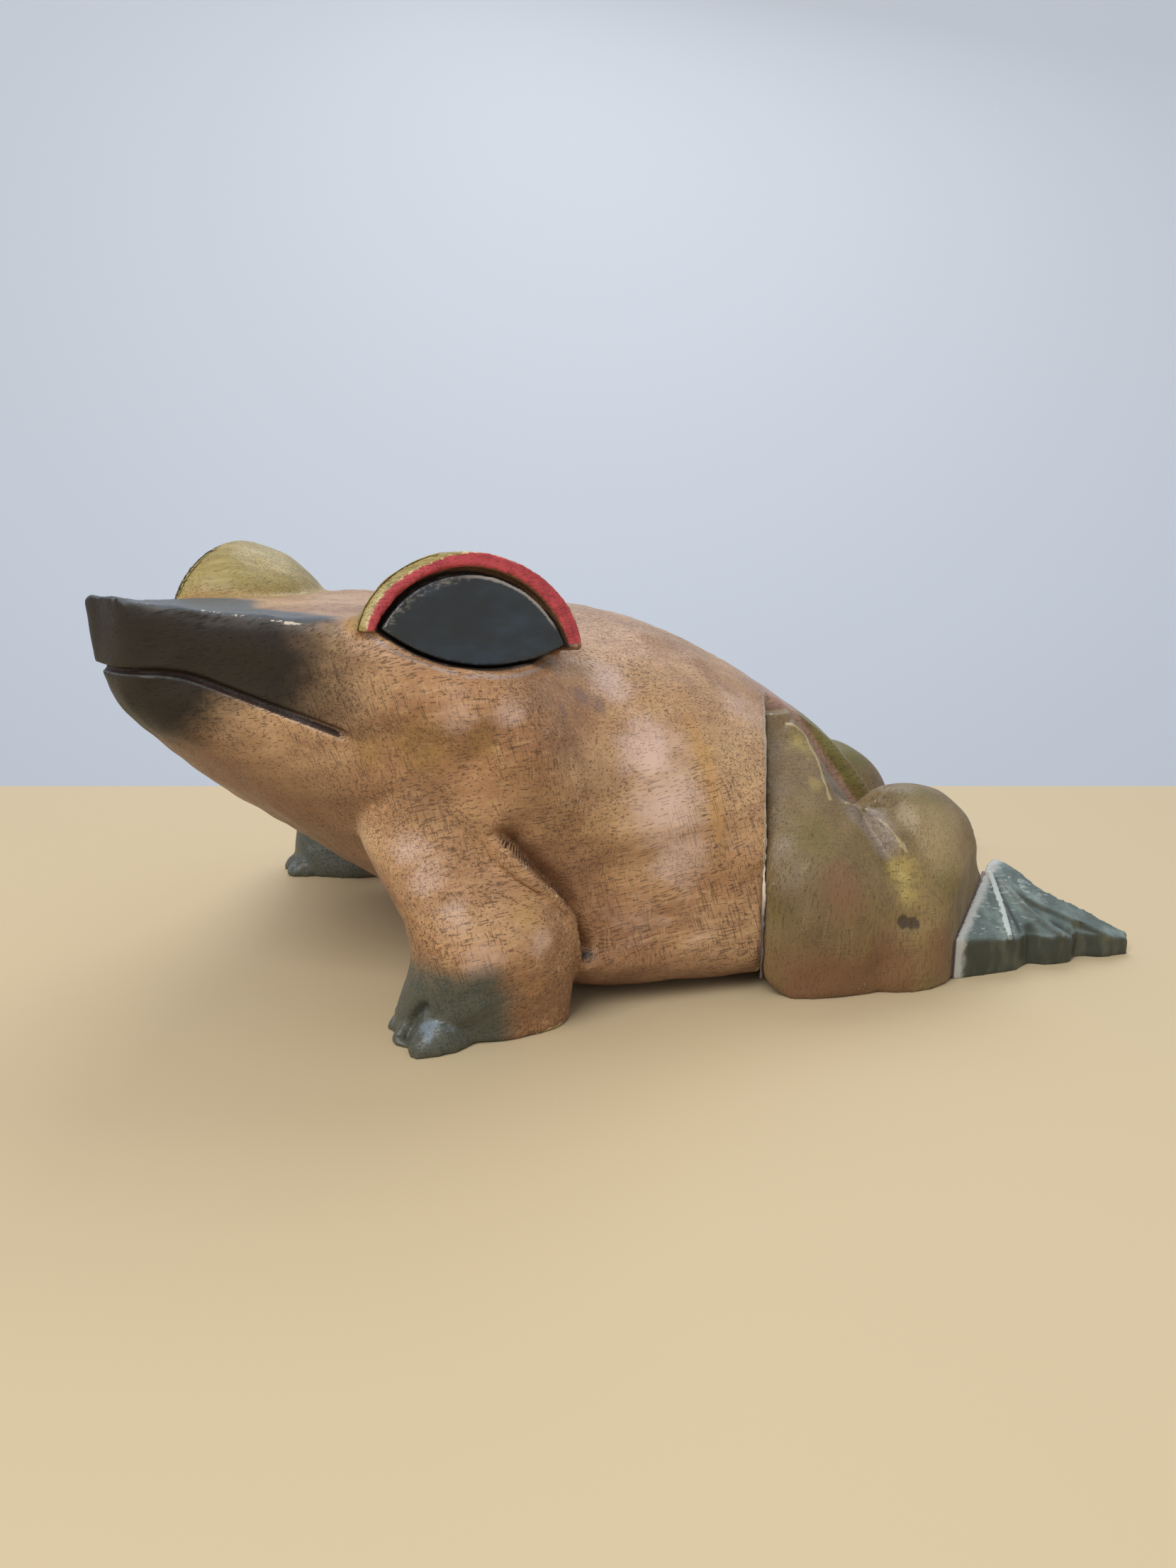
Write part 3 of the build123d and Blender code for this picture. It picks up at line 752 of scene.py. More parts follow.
def paintBody(mesh, edges, points, paths, tree):
    head, face = inHead(points), onFace(points)
    proud = spread(convexity(mesh, edges, 6), edges, 2)
    # hollows, to be darkened as painted shade
    setMasks(mesh, hollow=ramp(proud, -0.08, -0.30))

    # soot: the black sprayed over the snout, thinner below the mouth
    mouthAway, above = fromMouth(head)
    onTop = spread(ramp(readNormals(mesh)[:, 2], 0.45, 0.8), edges, 2) * ramp(points[:, 2], 90, 100)
    farSide = 0.6 * onTop * np.clip(-head[:, 1], 0, 20)
    soot = ramp(head[:, 0] + farSide, 11 + 10 * onTop, 53 - 17 * onTop)
    soot = np.where(above < 0, ramp(head[:, 0] + 0.5 * above, 31, 62), soot)
    hands = 0
    for centre, angle, slope, reach in handPaint:
        away = points[:, :2] - centre
        near = ramp(np.linalg.norm(away, axis=1), 46, 36) * ramp(points[:, 2], 34, 10)
        ahead = away @ -level(radians(angle))[:2]
        hands = np.maximum(hands, near * ramp(ahead * 0.9 - points[:, 2] * slope + reach, 0, 18))
    atArmpit = ramp(fromPath(points, paths["armpit"])[0], 7, 4)
    rubbedOff = ramp(proud, 0.14, 0.42) * (1 - 0.75 * ramp(soot, 0.2, 0.8))
    rubbedOff *= (1 - 0.8 * hands) * (1 - 0.6 * atArmpit)
    rubbedOff *= ramp(points[:, 0], plan["seamX"] + 3, plan["seamX"] - 5)
    setMasks(mesh, wear=rubbedOff, toeSoot=hands)

    # the face of the brow with its ring of paint, and the dome behind it
    along, across = browShare(face)
    out, share = face[:, 2], np.hypot(along, across)
    edge = (1 - share) * (brow["rise"] + (brow["halfLength"] - brow["rise"]) * along ** 2)
    forward = ramp(along, 0, -0.5)
    onRing = ramp(out, -0.8 - 1.4 * forward, -0.3 - 1.2 * forward)
    overLid = face[:, 1] > -0.5 - 5.5 * ramp(face[:, 0], -18, 20)
    onRing *= (share < 1.12) * (fromAlmond(face) > -1) * overLid
    inset = brow["inset"] * ramp(along, 0.1, -0.55)
    ringEdge = edge - brow["rim"] - 1.6 * ramp(along, 0.1, 0.9) - 0.9 * forward
    nearFace = np.abs(out) < 9
    setMasks(mesh, ringEdge=ringEdge, rimIn=edge - inset, onRing=onRing)
    ball = np.sqrt(along ** 2 + across ** 2 + (out / brow["depth"]) ** 2)
    dome = ramp(np.abs(ball - 1), 0.12, 0.05) * ramp(out, -0.6, -1.6) * ramp(face[:, 1], -3.5, 3.5)
    dome = np.maximum(dome, (onRing > 0) * (edge < inset))
    domeFoot = ramp(face[:, 1], 9, -1) * ramp(out, -2, -8)
    lowerLid = bump(fromAlmond(face) - 3.0, 0.7) * (face[:, 1] < 1) * nearFace
    setMasks(mesh, dome=dome, domeFoot=domeFoot, lowerLid=lowerLid, soot=np.maximum(soot, 0) * (1 - dome))
    setMasks(mesh, almond=np.where(nearFace, fromAlmond(face), 30))

    # painted shade in the cuts: the mouth, the armpit's slit, the neck, the toe and the nick
    away, along, side = fromArmpit(points, readNormals(mesh), paths, tree)
    slit = np.where(side > 0, ramp(away, 5.2, 2.0), ramp(away, 1.2, 0.4)) * tapered(along, 0.15, 0.08)
    dark = np.maximum(ramp(mouthAway, 1.3, 0.4), slit)
    pale = 0.65 * bump(away - 1.7, 0.5) * (side < 0) * tapered(along, 0.3, 0.4)
    for name, reach, most in (("neck", 0.3, 0.4), ("toe", 1.2, 1), ("nick", 0.2, 0.6)):
        away, along = fromPath(points, paths[name])
        wide = reach * (0.4 + 0.9 * tapered(along, 0.4, 0.4))
        dark = np.maximum(dark, most * ramp(away, wide + 0.7, wide * 0.5) * tapered(along, 0.12, 0.12))
    setMasks(mesh, crease=dark)
    # pale cut edges
    for name, reach, most in (("knuckle", 0.5, 0.4), ("jaw", 0.5, 0.8), ("armRidge", 0.7, 0.55)):
        away, along = fromPath(points, paths[name])
        pale = np.maximum(pale, most * bump(away, reach) * tapered(along, 0.3, 0.3))
    away, along = fromPath(points, paths["arris"])
    arrisShare = tapered(along, 0.1, 0.1) * (0.45 + 0.5 * ramp(along, 0.35, 0.7))
    setMasks(mesh, pale=np.maximum(pale, bump(away, 0.5) * arrisShare))
    # the facet band is a painted shadow on the flank behind the foreleg
    for name, reach, ends in (("gold", 3.2, 0.2), ("facetShade", 8.0, 0.3)):
        away, along = fromPath(points, paths[name])
        setMasks(mesh, **{name: bump(away, reach) * tapered(along, ends, ends)})
    setMasks(mesh, **{name: patch(points, spotsOn(tree, marks)) for name, marks in bodyPatches.items()})

    # behind the hip seams the croup is lilac, then olive toward the tail and the far side
    behind = ramp(points[:, 0], plan["seamX"] - 14, plan["seamX"] + 8)
    behind *= ramp(np.abs(points[:, 1] - plan["hipsY"]), plan["croupHalf"] + 6, plan["croupHalf"])
    first, last = [viewRay(x, y) for x, y in humpLine]
    humpWay = unit(np.cross(first, last))
    beyond = (points - view["eye"]) @ humpWay
    beyond *= np.sign((seenAt(tree, *humpSide) - view["eye"]) @ humpWay)
    farHalf = ramp(points[:, 1], plan["hipsY"] - 6, plan["hipsY"] + 6)
    farHalf *= ramp(points[:, 0], plan["seamX"] + 14, plan["seamX"] + 24)
    rear = np.maximum(ramp(beyond, -1.5, 1.5), farHalf)
    setMasks(mesh, croup=behind * (1 - rear) * ramp(points[:, 2], 25, 45), farHump=behind * rear)
    # the pale filler shows where the body meets the near hind leg
    fromSeam = np.abs((points - hipCorner) @ hipAcross)
    setMasks(mesh, seam=np.where(points[:, 1] < hipCorner[1] + 1, fromSeam, 20))


bodyPaint = dict(
    light="cfa87c", middle="b1845a", dark="80553a", pore="412a1c", soot="1c1a18", sootSheen="545b61",
    toes="484e44", toesSheen="76858e", dome="8f7f42", domeLight="b09c5e", domeFoot="a8693c", red="bd444b",
    lid="33261e", worn="e2cd98", sanded="b28c4a", rosyTintAndSheen="debfb1", stain="6e5a58", crease="2b1c17",
    filler="ded3bd", pale="dfd0bb", rimRed="a4343b", gold="c08c42", facetShade="8a5f42", underShade="6e4a33",
    lowerLid="a8958c", far="6f6f33", farBrown="6a552f", croup="a98a80",
)


def bodyMaterial():
    paint = newMaterial("orange_brown_stain", bodyPaint)
    wood = grained((0, 9, 0), pores=1.0, scratches=1.0, figure=0.8)
    coarse = noise(14, (0.7, 1, 1), 3, 0.6)
    fray, softFray = sway(noise(5, (0.6, 1, 1), 4, 0.65), 0.9), sway(coarse, 0.9)
    layFrayed((
        # the rosy coat is painted sheen with some pinkish tint; the sanded coat is wear
        ("sanded", "sanded", fray, 0.35, 1.05, 0.50), ("rosyTintAndSheen", "rosyTintAndSheen", fray, 0.25, 1.00, 0.80),
        # the shaded coat is painted shade; the gold coat is a paler streak of the grain
        ("shaded", "underShade", softFray, 0.15, 1.15, 0.55), ("gold", "gold", fray, 0.35, 1.00, 0.35),
        # the facet coat is painted shadow behind the foreleg
        ("facetShade", "facetShade", fray, 0.25, 0.95, 0.50), ("stain", "stain", fray, 0.40, 0.80, 0.55),
        # the hollow coat is painted shade in the hollows
        ("hollow", "dark", softFray, 0.45, 1.05, 0.55), ("lowerLid", "lowerLid", fray, 0.40, 0.75, 0.60),
    ))
    topSide = upwardness()
    # faces turned downward are darkened, as painted shade
    lay(between(topSide, 0.10, -0.75, 0.0, 0.70), "underShade")

    # the stain of the croup, and the olive domes over the eyes, streaked along the grain
    paint["farTone"] = mix(between(coarse, 0.38, 0.64), paint["far"], paint["farBrown"])
    olive = mix(between(noise(3.0, (0.12, 1, 1), 3, 0.6), 0.30, 0.78), paint["dome"], paint["domeLight"])
    paint["olive"] = mix(times(mask("domeFoot"), 0.8), olive, paint["domeFoot"])
    layFrayed((
        ("croup", "croup", softFray, 0.1, 0.9, 0.70), ("farHump", "farTone", softFray, 0.2, 0.8, 0.85),
        ("dome", "olive", softFray, 0.25, 0.75, 0.92),
    ))

    # soot sprayed on the snout, paler grey on its upward faces as painted sheen, and the dark toes
    black = mix(between(topSide, 0.35, 0.80), paint["soot"], paint["sootSheen"])
    sootShare = between(plus(mask("soot"), times(fray, 0.35)), 0.12, 0.80, 0.0, 0.97)
    sootShare = times(sootShare, between(mask("soot"), 0.01, 0.10))
    lay(sootShare, black)
    # the toes get paler blotches on their upward faces, as painted sheen
    toes = mix(between(noise(6, (1, 1, 1), 3, 0.6), 0.45, 0.70), paint["toes"], paint["toesSheen"])
    toes = mix(between(topSide, 0.15, 0.70), paint["toes"], toes)
    lay(frayed("toeSoot", softFray, 0.15, 0.85, 0.95), toes)

    # rubbed edges and pale cut edges
    lay(times(rubbed("wear", 1.0, 2.2), 0.85), "worn")
    lay(times(rubbed("pale", 1.0, 1.6), 0.75), "pale")

    # the face of the brow: red rim, dark brown inside it, chips along its outer edge
    jag = sway(noise(1.6, (1, 1, 1), 3, 0.6), 1.0)
    redShare = between(plus(mask("ringEdge"), jag), -0.05, 0.25, 1.0, 0.0)
    redTone = mix(between(noise(4, (1, 1, 1), 3, 0.6), 0.35, 0.75), paint["red"], paint["rimRed"])
    inRim = plus(mask("rimIn"), times(jag, 1.4))
    onRing = times(between(mask("onRing"), 0.35, 0.65), between(inRim, -0.1, 0.25))
    lay(onRing, mix(redShare, paint["lid"], redTone))
    chips = times(between(inRim, 0.4, 0.1), between(inRim, -0.5, -0.2),
                  between(noise(1.4, (1, 1, 0.6), 2, 0.6), 0.50, 0.60), between(mask("onRing"), 0.2, 0.5))
    lay(times(chips, 0.55), "worn")
    # inside of the socket, painted shade in the cuts, and the filler at the seam
    lay(between(mask("almond"), 1.9, 1.1), "lid")
    lay(between(mask("crease"), 0.25, 0.75, 0.0, 0.95), "crease")
    lay(between(plus(mask("seam"), times(jag, 0.9)), 0.2, 0.8, 0.55, 0.0), "filler")

    roughness = plus(plus(0.36, wood["Dull"]), times(coarse, 0.10))
    height = times(wood["Height"], minus(1.0, times(sootShare, 0.7)))
    shine = minus(0.5, times(sootShare, 0.3))
    return finishWith(roughness, height, 0.30, coat=0.12, coatRoughness=0.28, specular=shine)


finishPiece(carveBody(), bodyMaterial(), "body_block")


# Hind legs
def laidOn(tree, path):
    return np.array([tree.find_nearest(Vector(place))[0] for place in path])


# The line where a seam's plane leaves the wood, found by looking in from outside at each angle
def roundSeam(tree, middle, along, shift, startAngle, endAngle, count):
    found = []
    for angle in np.radians(np.linspace(startAngle, endAngle, count)):
        out = along * np.cos(angle) + np.array((0, 0, 1)) * np.sin(angle)
        hit = tree.ray_cast(Vector(middle + shift + out * 200), Vector(-out))
        if hit[0] is not None:
            found.append(np.array(hit[0]) - shift)
    return np.array(found)


footLook = dict(
    voxel=0.8, crest=35.0, crestHeight=27.5, edgeHeight=12.0, tipHeight=6.0, length=67.5, tipWidth=2.5,
    lap=8.0, narrowing=0.51, tipOut=67.0, toeIn=8.0, ridges=(0.31, 0.62, 0.90), creases=(0.41, 0.72),
    creaseDepth=0.8, ridgeLift=0.35, ripple=0.12, rippleSize=7.0, notch=3.2, notches=(0.47, 0.76),
    tipDrop=0.12, rightDrop=0.22,
    creaseReach=1.8, ridgeShares=(1, 0.35, 0.25), softening=6, tipSoftening=14,
)
legLook = dict(
    voxel=1.2, chisel=0.26, chiselSize=13.0, ridgeLift=1.2, kneeLift=1.0, kneeHollow=1.5, cornerCut=7.0,
    cornerRise=9.0, knotDepth=0.7, rightLow=0.875, ridgeReach=6.0, kneeReach=5.0,
    softening=5, ankleSoftening=40, lowSoftening=14,
)
legLines = dict(
    ridge=[(1085, 988), (1110, 1020), (1133, 1042), (1150, 1075), (1160, 1105), (1170, 1128)],
    knee=[(1178, 1134), (1222, 1142), (1250, 1165), (1275, 1195), (1290, 1225), (1298, 1262)],
)
calfSide = (1330, 1180)
legPatches = dict(
    lilac=[(1225, 1168, 8, 1), (1205, 1150, 6, 0.9), (1245, 1195, 6, 0.9), (1095, 1130, 8, 0.55),
           (1100, 1200, 9, 0.45)],
    yellow=[(1272, 1232, 6.5, 1), (1280, 1262, 5, 0.9), (1128, 1050, 8, 0.75), (1150, 1108, 4, 0.6)],
    olive=[(1300, 1125, 12, 0.6), (1340, 1240, 14, 0.5), (1150, 1180, 12, 0.6), (1110, 1290, 12, 0.4)],
    # tan: a painted highlight on the top of the calf
    tan=[(1330, 1175, 14, 1), (1290, 1150, 10, 0.8), (1360, 1210, 10, 0.8)],
    rust=[(1240, 1380, 18, 1), (1150, 1400, 18, 1), (1330, 1350, 14, 0.8), (1190, 1260, 12, 0.8)],
    knot=[(1276, 1301, 2.2, 1), (1288, 1302, 2.2, 1), (1295, 1304, 1.6, 0.8)],
)
legTree = rayTree(nodes["left_hind_leg"].data)
legPaths = {name: seenPath(legTree, marks) for name, marks in legLines.items()}
legSpots = {name: spotsOn(legTree, marks) for name, marks in legPatches.items()}


# How far a place on the ankle seam is above the foot, whose web climbs along it, or short of its heel
def pastFoot(local):
    along = (local - heel) @ ankleAlong
    climb = (footLook["crestHeight"] - footLook["edgeHeight"]) * np.clip(along / footLook["crest"], 0, 1)
    return np.maximum(local[:, 2] - footLook["edgeHeight"] - climb, -along)


def carveLeg(side):
    piece = skinOver(side + "_hind_leg", side + "_thigh_and_calf", legLook["voxel"])
    mesh, solid = piece.data, rayTree(nodes[side + "_hind_leg"].data)
    local = asLeft(readPoints(mesh), side)
    refine(piece, (fromPath(local, legPaths["ridge"])[0] < 4) | (fromPath(local, legPaths["knee"])[0] < 5))
    settle(mesh, solid)
    points, edges = readMesh(mesh)
    local = asLeft(points, side)
    # the glued faces and the sole stay flat
    fromAnkle = (heel - local) @ ankleAcross
    overFoot = ramp(fromAnkle, 14, 4) * ramp(pastFoot(local), 0.5, 3.5)
    free = ramp((local - hipCorner) @ hipAcross, 0.3, 2.2) * ramp(points[:, 2], 0.2, 2)
    free *= ramp(hipCorner[1] - local[:, 1], 0.3, 2.2) * np.maximum(ramp(fromAnkle, 0.3, 2.2), overFoot)
    # the corner under the hip seam is rounded off
    beside = ramp((hipCorner - local) @ hipAcross, -10, 0)
    cornerCut = legLook["cornerCut"] * beside * ridge(points[:, 2], legLook["cornerRise"]) ** 2
    points = pushed(points, hipAcross * flip[side], cornerCut)
    points = smooth(points, edges, legLook["softening"], free, keepSize=True)
    points = smooth(points, edges, legLook["ankleSoftening"], free * overFoot)
    points = smooth(points, edges, legLook["lowSoftening"], free * ramp(points[:, 2], 38, 22))
    writePoints(mesh, points)
    normals = readNormals(mesh)
    points = pushed(points, normals, ripple(local, legLook["chiselSize"], 8) * legLook["chisel"] * free)

    # the thigh's ridge, and the knee's with a hollow behind it
    tree = rayTree(mesh, side)
    low = np.array((1, 1, 1 if side == "left" else legLook["rightLow"]))
    paths = {name: laidOn(tree, path * low) for name, path in legPaths.items()}
    ridgeAway, along = fromPath(local, paths["ridge"])
    lift = legLook["ridgeLift"] * tapered(along, 0.05, 0.2) * ridge(ridgeAway, legLook["ridgeReach"])
    away, along, foot, heading = nearestOn(local, paths["knee"])
    behind = sideOf(local, normals * flip[side], foot, heading, seenAt(legTree, *calfSide))
    shown = tapered(along, 0.1, 0.35)
    lift += legLook["kneeLift"] * shown * ridge(away, legLook["kneeReach"])
    lift -= legLook["kneeHollow"] * shown * (behind > 0) * bump(away - 4.5, 3.5)
    patches = {name: patch(local, spots, low) for name, spots in legSpots.items()}
    lift -= legLook["knotDepth"] * patches["knot"]
    points = pushed(points, normals, lift * free)
    points[:, 2] = np.maximum(points[:, 2], 0)
    writePoints(mesh, points)

    proud = spread(convexity(mesh, edges, 6), edges, 2) * free
    setMasks(mesh, wear=ramp(proud, 0.12, 0.34) * ramp(hipCorner[1] - local[:, 1], 3, 10))
    # hollows, to be darkened as painted shade
    setMasks(mesh, hollow=ramp(proud, -0.08, -0.30))
    edge = np.minimum(0.85 * bump(ridgeAway, 0.8) + 0.8 * bump(away, 0.7) * shown, 1)
    setMasks(mesh, pale=edge if side == "left" else edge * 0)
    if side == "right":
        patches["olive"] = np.maximum(patches["olive"], ramp(local[:, 2], 30, 50))
    overFoot = fromAnkle + 20 * ramp(pastFoot(local), 0.3, 1.2)
    setMasks(mesh, seam=np.minimum((local - hipCorner) @ hipAcross, overFoot), **patches)
    return piece


legPaint = dict(
    light="927a4c", middle="7a643f", dark="5a452e", pore="33261b", lilac="8f8072", yellow="ab9653",
    olive="68622f", rust="7b5539", tan="a8936c", knot="33271f", worn="cfbb8a", filler="cfc5b3",
    crease="2b2018",
)


def legMaterial():
    newMaterial("olive_brown_stain", legPaint)
    wood = grained((0, 84, 0), pores=0.55, scratches=0.5, figure=0.8)
    broken, coarse = noise(5, (1, 1, 0.6), 4, 0.65), noise(14, (1, 1, 0.7), 3, 0.6)
    fray, softFray = sway(broken, 0.9), sway(coarse, 0.9)
    yellow = frayed("yellow", fray, 0.25, 1.05, 0.85, 0.15)
    # short cracks across the sanded patches
    cracks = between(noise(0.9, (0.28, 0.28, 1), 2, 0.5), 0.56, 0.62)
    cracks = times(cracks, calc("MAXIMUM", yellow, frayed("lilac", fray, 0.5, 0.9, 0.6, 0.15)))
    layFrayed((
        ("olive", "olive", softFray, 0.25, 0.85, 0.80), ("rust", "rust", softFray, 0.30, 0.90, 0.75),
        # the tan coat is a painted highlight on the top of the calf
        ("tan", "tan", softFray, 0.30, 1.10, 0.80), ("lilac", "lilac", softFray, 0.30, 0.85, 0.75),
    ), 0.15)
    lay(yellow, "yellow")
    lay(times(cracks, 0.5), "knot")
    layFrayed((
        # the hollow coat is painted shade in the hollows
        ("hollow", "dark", softFray, 0.45, 1.05, 0.55), ("knot", "knot", fray, 0.35, 0.65, 0.8),
    ), 0.15)
    lay(times(rubbed("wear", 1.0, 2.2), 0.7), "worn")
    lay(times(rubbed("pale", 0.95, 5.0), 0.42), "worn")
    # pale flecks left in the hollows of the tool marks
    fleck = between(noise(1.1, (1, 1, 1), 2, 0.6), 0.70, 0.75, 0.0, 0.4)
    lay(times(fleck, between(coarse, 0.45, 0.6)), "filler")
    # painted shade along the hip and ankle seams
    lay(between(plus(mask("seam"), sway(broken, 2.0)), 0.3, 1.1, 0.75, 0.0), "crease")
    roughness = plus(plus(0.40, wood["Dull"]), times(coarse, 0.10))
    return finishWith(roughness, minus(wood["Height"], cracks), 0.28, coat=0.10, coatRoughness=0.30)


# Hind feet
crest = heel + ankleAlong * footLook["crest"] + (0, 0, footLook["crestHeight"])
tip = heel + (footLook["tipOut"], footLook["toeIn"], 0)


# A line on the web, from near its crest to a share of the way along its outer edge
def webLine(tree, share):
    end = heel + (tip - heel) * share
    line = [crest * (1 - along) + end * along for along in np.linspace(0.06, 0.99, 14)]
    found = [tree.ray_cast(Vector((x, y, 60)), Vector((0, 0, -1)))[0] for x, y, z in line]
    return np.array([place for place in found if place is not None])


def carveFoot(side):
    piece = skinOver(side + "_hind_foot", side + "_webbed_foot", footLook["voxel"])
    mesh = piece.data
    settle(mesh, rayTree(nodes[side + "_hind_foot"].data))
    points, edges = readMesh(mesh)
    local = asLeft(points, side)
    fromAnkle = (local - heel) @ ankleAcross
    free = ramp(fromAnkle, 0.3, 1.6) * ramp(points[:, 2], 0.1, 1.2)
    spine = unit(tip - heel)
    wide = np.cross((0, 0, 1), spine)
    out, over = (local - heel) @ spine, (local - heel) @ wide
    within = np.maximum(over, 0)
    # the far side of the fan is drawn in along the slope of the web, so that it ends in a point
    crestOut, crestOver = (crest - heel) @ spine, (crest - heel) @ wide
    fullWidth = crestOver + footLook["lap"] - footLook["narrowing"] * (out - crestOut)
    narrowing = (crestOver - footLook["tipWidth"]) / (footLook["length"] - crestOut)
    share = np.clip((crestOver - narrowing * (out - crestOut)) / np.maximum(fullWidth, 1), 0.2, 1)
    share = 1 - (1 - share) * ramp(fromAnkle, 0.5, 12)
    fall = (footLook["edgeHeight"] - footLook["tipHeight"]) / footLook["length"]
    climb = (footLook["crestHeight"] - footLook["edgeHeight"] + fall * crestOut) / crestOver
    edgeTop = footLook["edgeHeight"] - fall * out
    points = pushed(points, wide * flip[side], within * (share - 1))
    points[:, 2] *= (edgeTop + climb * within * share) / np.maximum(edgeTop + climb * within, 1)
    points[:, 2] *= 1 - footLook["tipDrop"] * ramp(out, 55, 66)
    # the edge is notched between the toes
    for share in footLook["notches"]:
        notch = footLook["notch"] * bump(out / footLook["length"] - share, 0.06)
        points = pushed(points, wide * flip[side], notch * ramp(over, 9, 0))
    if side == "right":
        points[:, 2] *= 1 - footLook["rightDrop"] * ramp(points[:, 2], 6, 24)
    points = smooth(points, edges, footLook["softening"], free, keepSize=True)
    points = smooth(points, edges, footLook["tipSoftening"], free * ramp(local[:, 0], 146, 156))
    writePoints(mesh, points)

    # creases between the toes, with painted shade in them, and a ridge along each
    normals, tree = readNormals(mesh), rayTree(mesh, side)
    lift = ripple(local, footLook["rippleSize"], 12) * footLook["ripple"]
    dark, pale = np.zeros(len(local)), np.zeros(len(local))
    for share in footLook["creases"]:
        away, along = fromPath(local, webLine(tree, share))
        lift -= footLook["creaseDepth"] * ramp(along, 0, 0.4) * ridge(away, footLook["creaseReach"])
        dark = np.maximum(dark, bump(away, 0.7) * ramp(along, 0, 0.5))
    for place, share in zip(footLook["ridges"], footLook["ridgeShares"]):
        away, along = fromPath(local, webLine(tree, place))
        pale = np.maximum(pale, share * bump(away, 0.9) * tapered(along, 0.1, 0.02))
        lift += footLook["ridgeLift"] * bump(away, 1.0)
    points = pushed(points, normals, lift * free)
    points[:, 2] = np.maximum(points[:, 2], 0)
    writePoints(mesh, points)
    proud = spread(convexity(mesh, edges, 5), edges, 2) * free
    # upward faces, made paler as painted light from above
    upper = spread(ramp(readNormals(mesh)[:, 2], 0.25, 0.6), edges, 2)
    setMasks(mesh, wear=ramp(proud, 0.15, 0.40), crease=dark, pale=pale, seam=fromAnkle, upper=upper)
    return piece


footPaint = dict(
    top="5b6865", topPale="84938e", side="33372f", sidePale="565848", stroke="c0c9c7", worn="85897e",
    crease="1d2122", filler="c4c4bf",
)


def footMaterial():
    paint = newMaterial("grey_green_paint", footPaint)
    cloud, broken = noise(9, (1, 1, 1), 4, 0.6), noise(2.5, (1, 1, 1), 3, 0.65)
    top = mix(between(cloud, 0.40, 0.72), paint["top"], paint["topPale"])
    side = mix(between(noise(5, (1, 1, 0.25), 3, 0.6), 0.42, 0.75), paint["side"], paint["sidePale"])
    # the sides are darker and the upward faces paler: painted shade at the sides, painted light on top
    bench["color"] = side
    lay(mask("upper"), top)
    # dry brush strokes across the web, near the ankle
    stroke = between(noise(0.9, (0.12, 0.5, 1), 2, 0.6, (0, 0, 20)), 0.56, 0.68)
    stroke = times(stroke, between(mask("seam"), 22, 4), mask("upper"))
    for share, tone in (
        (times(stroke, 0.55), "stroke"), (times(rubbed("wear", 0.9, 1.8), 0.55), "worn"),
        # painted shade in the creases between the toes
        (times(mask("crease"), 0.85), "crease"), (times(rubbed("pale", 1.0, 2.0), 0.9), "stroke"),
        (between(plus(mask("seam"), sway(broken, 2.2)), 1.6, 3.2, 0.8, 0.0), "filler"),
    ):
        lay(share, tone)
    return finishWith(between(broken, 0.3, 0.7, 0.34, 0.52), broken, 0.12, coat=0.10, coatRoughness=0.3)


# Almond eyes
eyeLook = dict(voxel=0.5, softening=3, ripple=0.12, rippleSize=7.0, chipDepth=0.25)


def carveEye(side):
    piece = skinOver(side + "_eye", side + "_almond_eye", eyeLook["voxel"])
    mesh = piece.data
    settle(mesh, rayTree(nodes[side + "_eye"].data))
    points, edges = readMesh(mesh)
    face = onFace(points)
    shown = ramp(face[:, 2], -1.0, 0.2)
    points = smooth(points, edges, eyeLook["softening"], shown, keepSize=True)
    writePoints(mesh, points)
    inside = -fromAlmond(face)
    # the paint has left the front of the upper edge in small chips
    corner = ramp(face[:, 0], 8, -8) * ramp(face[:, 1], -3, 1) * ramp(inside, 3.6, 1.2)
    chips = ramp(ripple(face, 1.5, 21) * 0.35 + corner, 0.75, 1.05)
    lift = ripple(face, eyeLook["rippleSize"], 20) * eyeLook["ripple"] - chips * eyeLook["chipDepth"]
    writePoints(mesh, pushed(points, readNormals(mesh), lift * shown))
    setMasks(mesh, chips=chips, inside=inside, rearward=face[:, 0], upward=face[:, 1])
    return piece


eyePaint = dict(black="25292b", blue="2c3842", chip="7c756b", edge="a79e94", brown="332a24")


def eyeMaterial():
    paint = newMaterial("blue_black_paint", eyePaint)
    cloud, broken = noise(10, (0.5, 1, 1), 3, 0.6), noise(0.8, (0.5, 1, 1), 3, 0.6)
    bench["color"] = paint["black"]
    lay(between(cloud, 0.38, 0.68), "blue")
    lay(between(noise(1.6, (0.2, 1, 1), 3, 0.6), 0.55, 0.75, 0.0, 0.35), "brown")
    lay(times(mask("chips"), between(broken, 0.40, 0.60), 0.65), "chip")
    # the pale line along the upper edge, toward the rear
    rim = between(plus(mask("inside"), times(broken, 0.8)), 1.5, 1.0)
    rim = times(rim, between(mask("rearward"), -8, 4), between(mask("upward"), -3, 1), 0.7)
    lay(rim, "edge")
    return finishWith(between(cloud, 0.3, 0.7, 0.30, 0.46), broken, 0.06, coat=0.15, coatRoughness=0.25)


legSkin, footSkin, eyeSkin = legMaterial(), footMaterial(), eyeMaterial()
legs, feet = {}, {}
for side in ("left", "right"):
    legs[side], feet[side], inlay = carveLeg(side), carveFoot(side), carveEye(side)
    for piece, node, skin, slot in (
        (legs[side], "_hind_leg", legSkin, "leg_wood"), (feet[side], "_hind_foot", footSkin, "foot_wood"),
        (inlay, "_eye", eyeSkin, "eye_inlay"),
    ):
        finishPiece(piece, skin, side + node)


# Beads of filler along the glued seams
beadLook = dict(radius=0.42, wander=0.9, step=0.7, hipSeed=3.0, ankleSeed=11.0)
beadPaint = dict(pale="ddd3c6", rosyTintAndSheen="c9aaa0", dark="5b4b4c")


